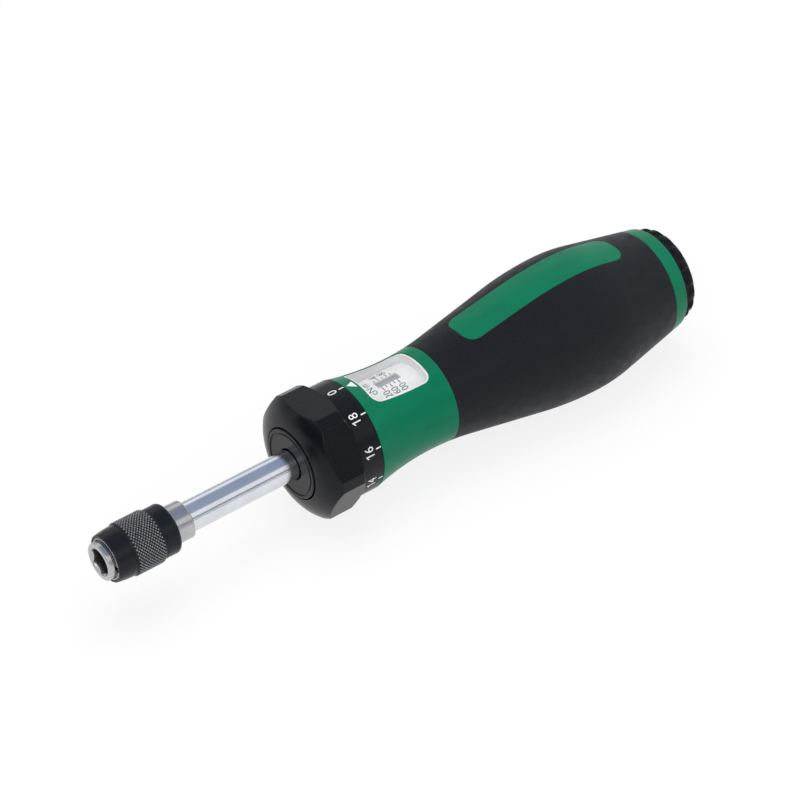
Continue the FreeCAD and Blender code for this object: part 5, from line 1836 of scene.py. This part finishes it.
class SCREWDRIVER_OT_window(Operator):
    """Make the scale tray, its print, the indicator and the lens"""

    bl_idname = "screwdriver.window"
    bl_label = "Scale Window"

    def execute(self, context):
        make_scale_tray()
        make_scale_marks()
        make_indicator()
        make_scale_lens()
        return {"FINISHED"}


class SCREWDRIVER_OT_cap(Operator):
    """Make the end cap"""

    bl_idname = "screwdriver.cap"
    bl_label = "End Cap"

    def execute(self, context):
        make_cap()
        return {"FINISHED"}


class SCREWDRIVER_OT_springs(Operator):
    """Make the two springs"""

    bl_idname = "screwdriver.springs"
    bl_label = "Springs"

    def execute(self, context):
        make_springs()
        return {"FINISHED"}


class SCREWDRIVER_OT_stage(Operator):
    """Make the floor, the world, the lamps and the camera"""

    bl_idname = "screwdriver.stage"
    bl_label = "Stage"

    def execute(self, context):
        settings = context.scene.stage_settings
        make_world(settings)
        make_floor(settings)
        make_lamps(settings)
        make_flags(settings)
        make_camera(settings)
        return {"FINISHED"}


OPERATORS = (
    SCREWDRIVER_OT_finishes,
    SCREWDRIVER_OT_chuck,
    SCREWDRIVER_OT_sleeve,
    SCREWDRIVER_OT_shaft,
    SCREWDRIVER_OT_knob,
    SCREWDRIVER_OT_dial,
    SCREWDRIVER_OT_handle,
    SCREWDRIVER_OT_window,
    SCREWDRIVER_OT_cap,
    SCREWDRIVER_OT_springs,
    SCREWDRIVER_OT_stage,
)
GROUPS = {
    "handle_sizes": HandleSizes,
    "window_sizes": WindowSizes,
    "dial_sizes": DialSizes,
    "knob_sizes": KnobSizes,
    "chuck_sizes": ChuckSizes,
    "cap_sizes": CapSizes,
    "finish_colours": FinishColours,
    "stage_settings": StageSettings,
}


class SCREWDRIVER_PT_panel(Panel):
    """Lists the tool's pieces, sizes and colours"""

    bl_idname = "SCREWDRIVER_PT_panel"
    bl_label = "Torque Screwdriver"
    bl_space_type = "VIEW_3D"
    bl_region_type = "UI"
    bl_category = "Screwdriver"

    def draw(self, context):
        layout = self.layout
        for operator in OPERATORS:
            layout.operator(operator.bl_idname)
        for name, group in GROUPS.items():
            box = layout.box()
            box.label(text=group.bl_rna.name)
            for setting in group.__annotations__:
                box.prop(getattr(context.scene, name), setting)


def register():
    for name, group in GROUPS.items():
        bpy.utils.register_class(group)
        setattr(bpy.types.Scene, name, PointerProperty(type=group))
    for operator in OPERATORS:
        bpy.utils.register_class(operator)
    bpy.utils.register_class(SCREWDRIVER_PT_panel)


def unregister():
    bpy.utils.unregister_class(SCREWDRIVER_PT_panel)
    for operator in reversed(OPERATORS):
        bpy.utils.unregister_class(operator)
    for name, group in reversed(GROUPS.items()):
        delattr(bpy.types.Scene, name)
        bpy.utils.unregister_class(group)


def main():
    """Build every piece round the frame."""
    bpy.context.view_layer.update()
    register()
    scene = bpy.context.scene
    scene.view_settings.view_transform = "Standard"
    for operator in OPERATORS:
        group, name = operator.bl_idname.split(".")
        getattr(getattr(bpy.ops, group), name)()
    bpy.context.view_layer.update()


if __name__ == "__main__":
    main()
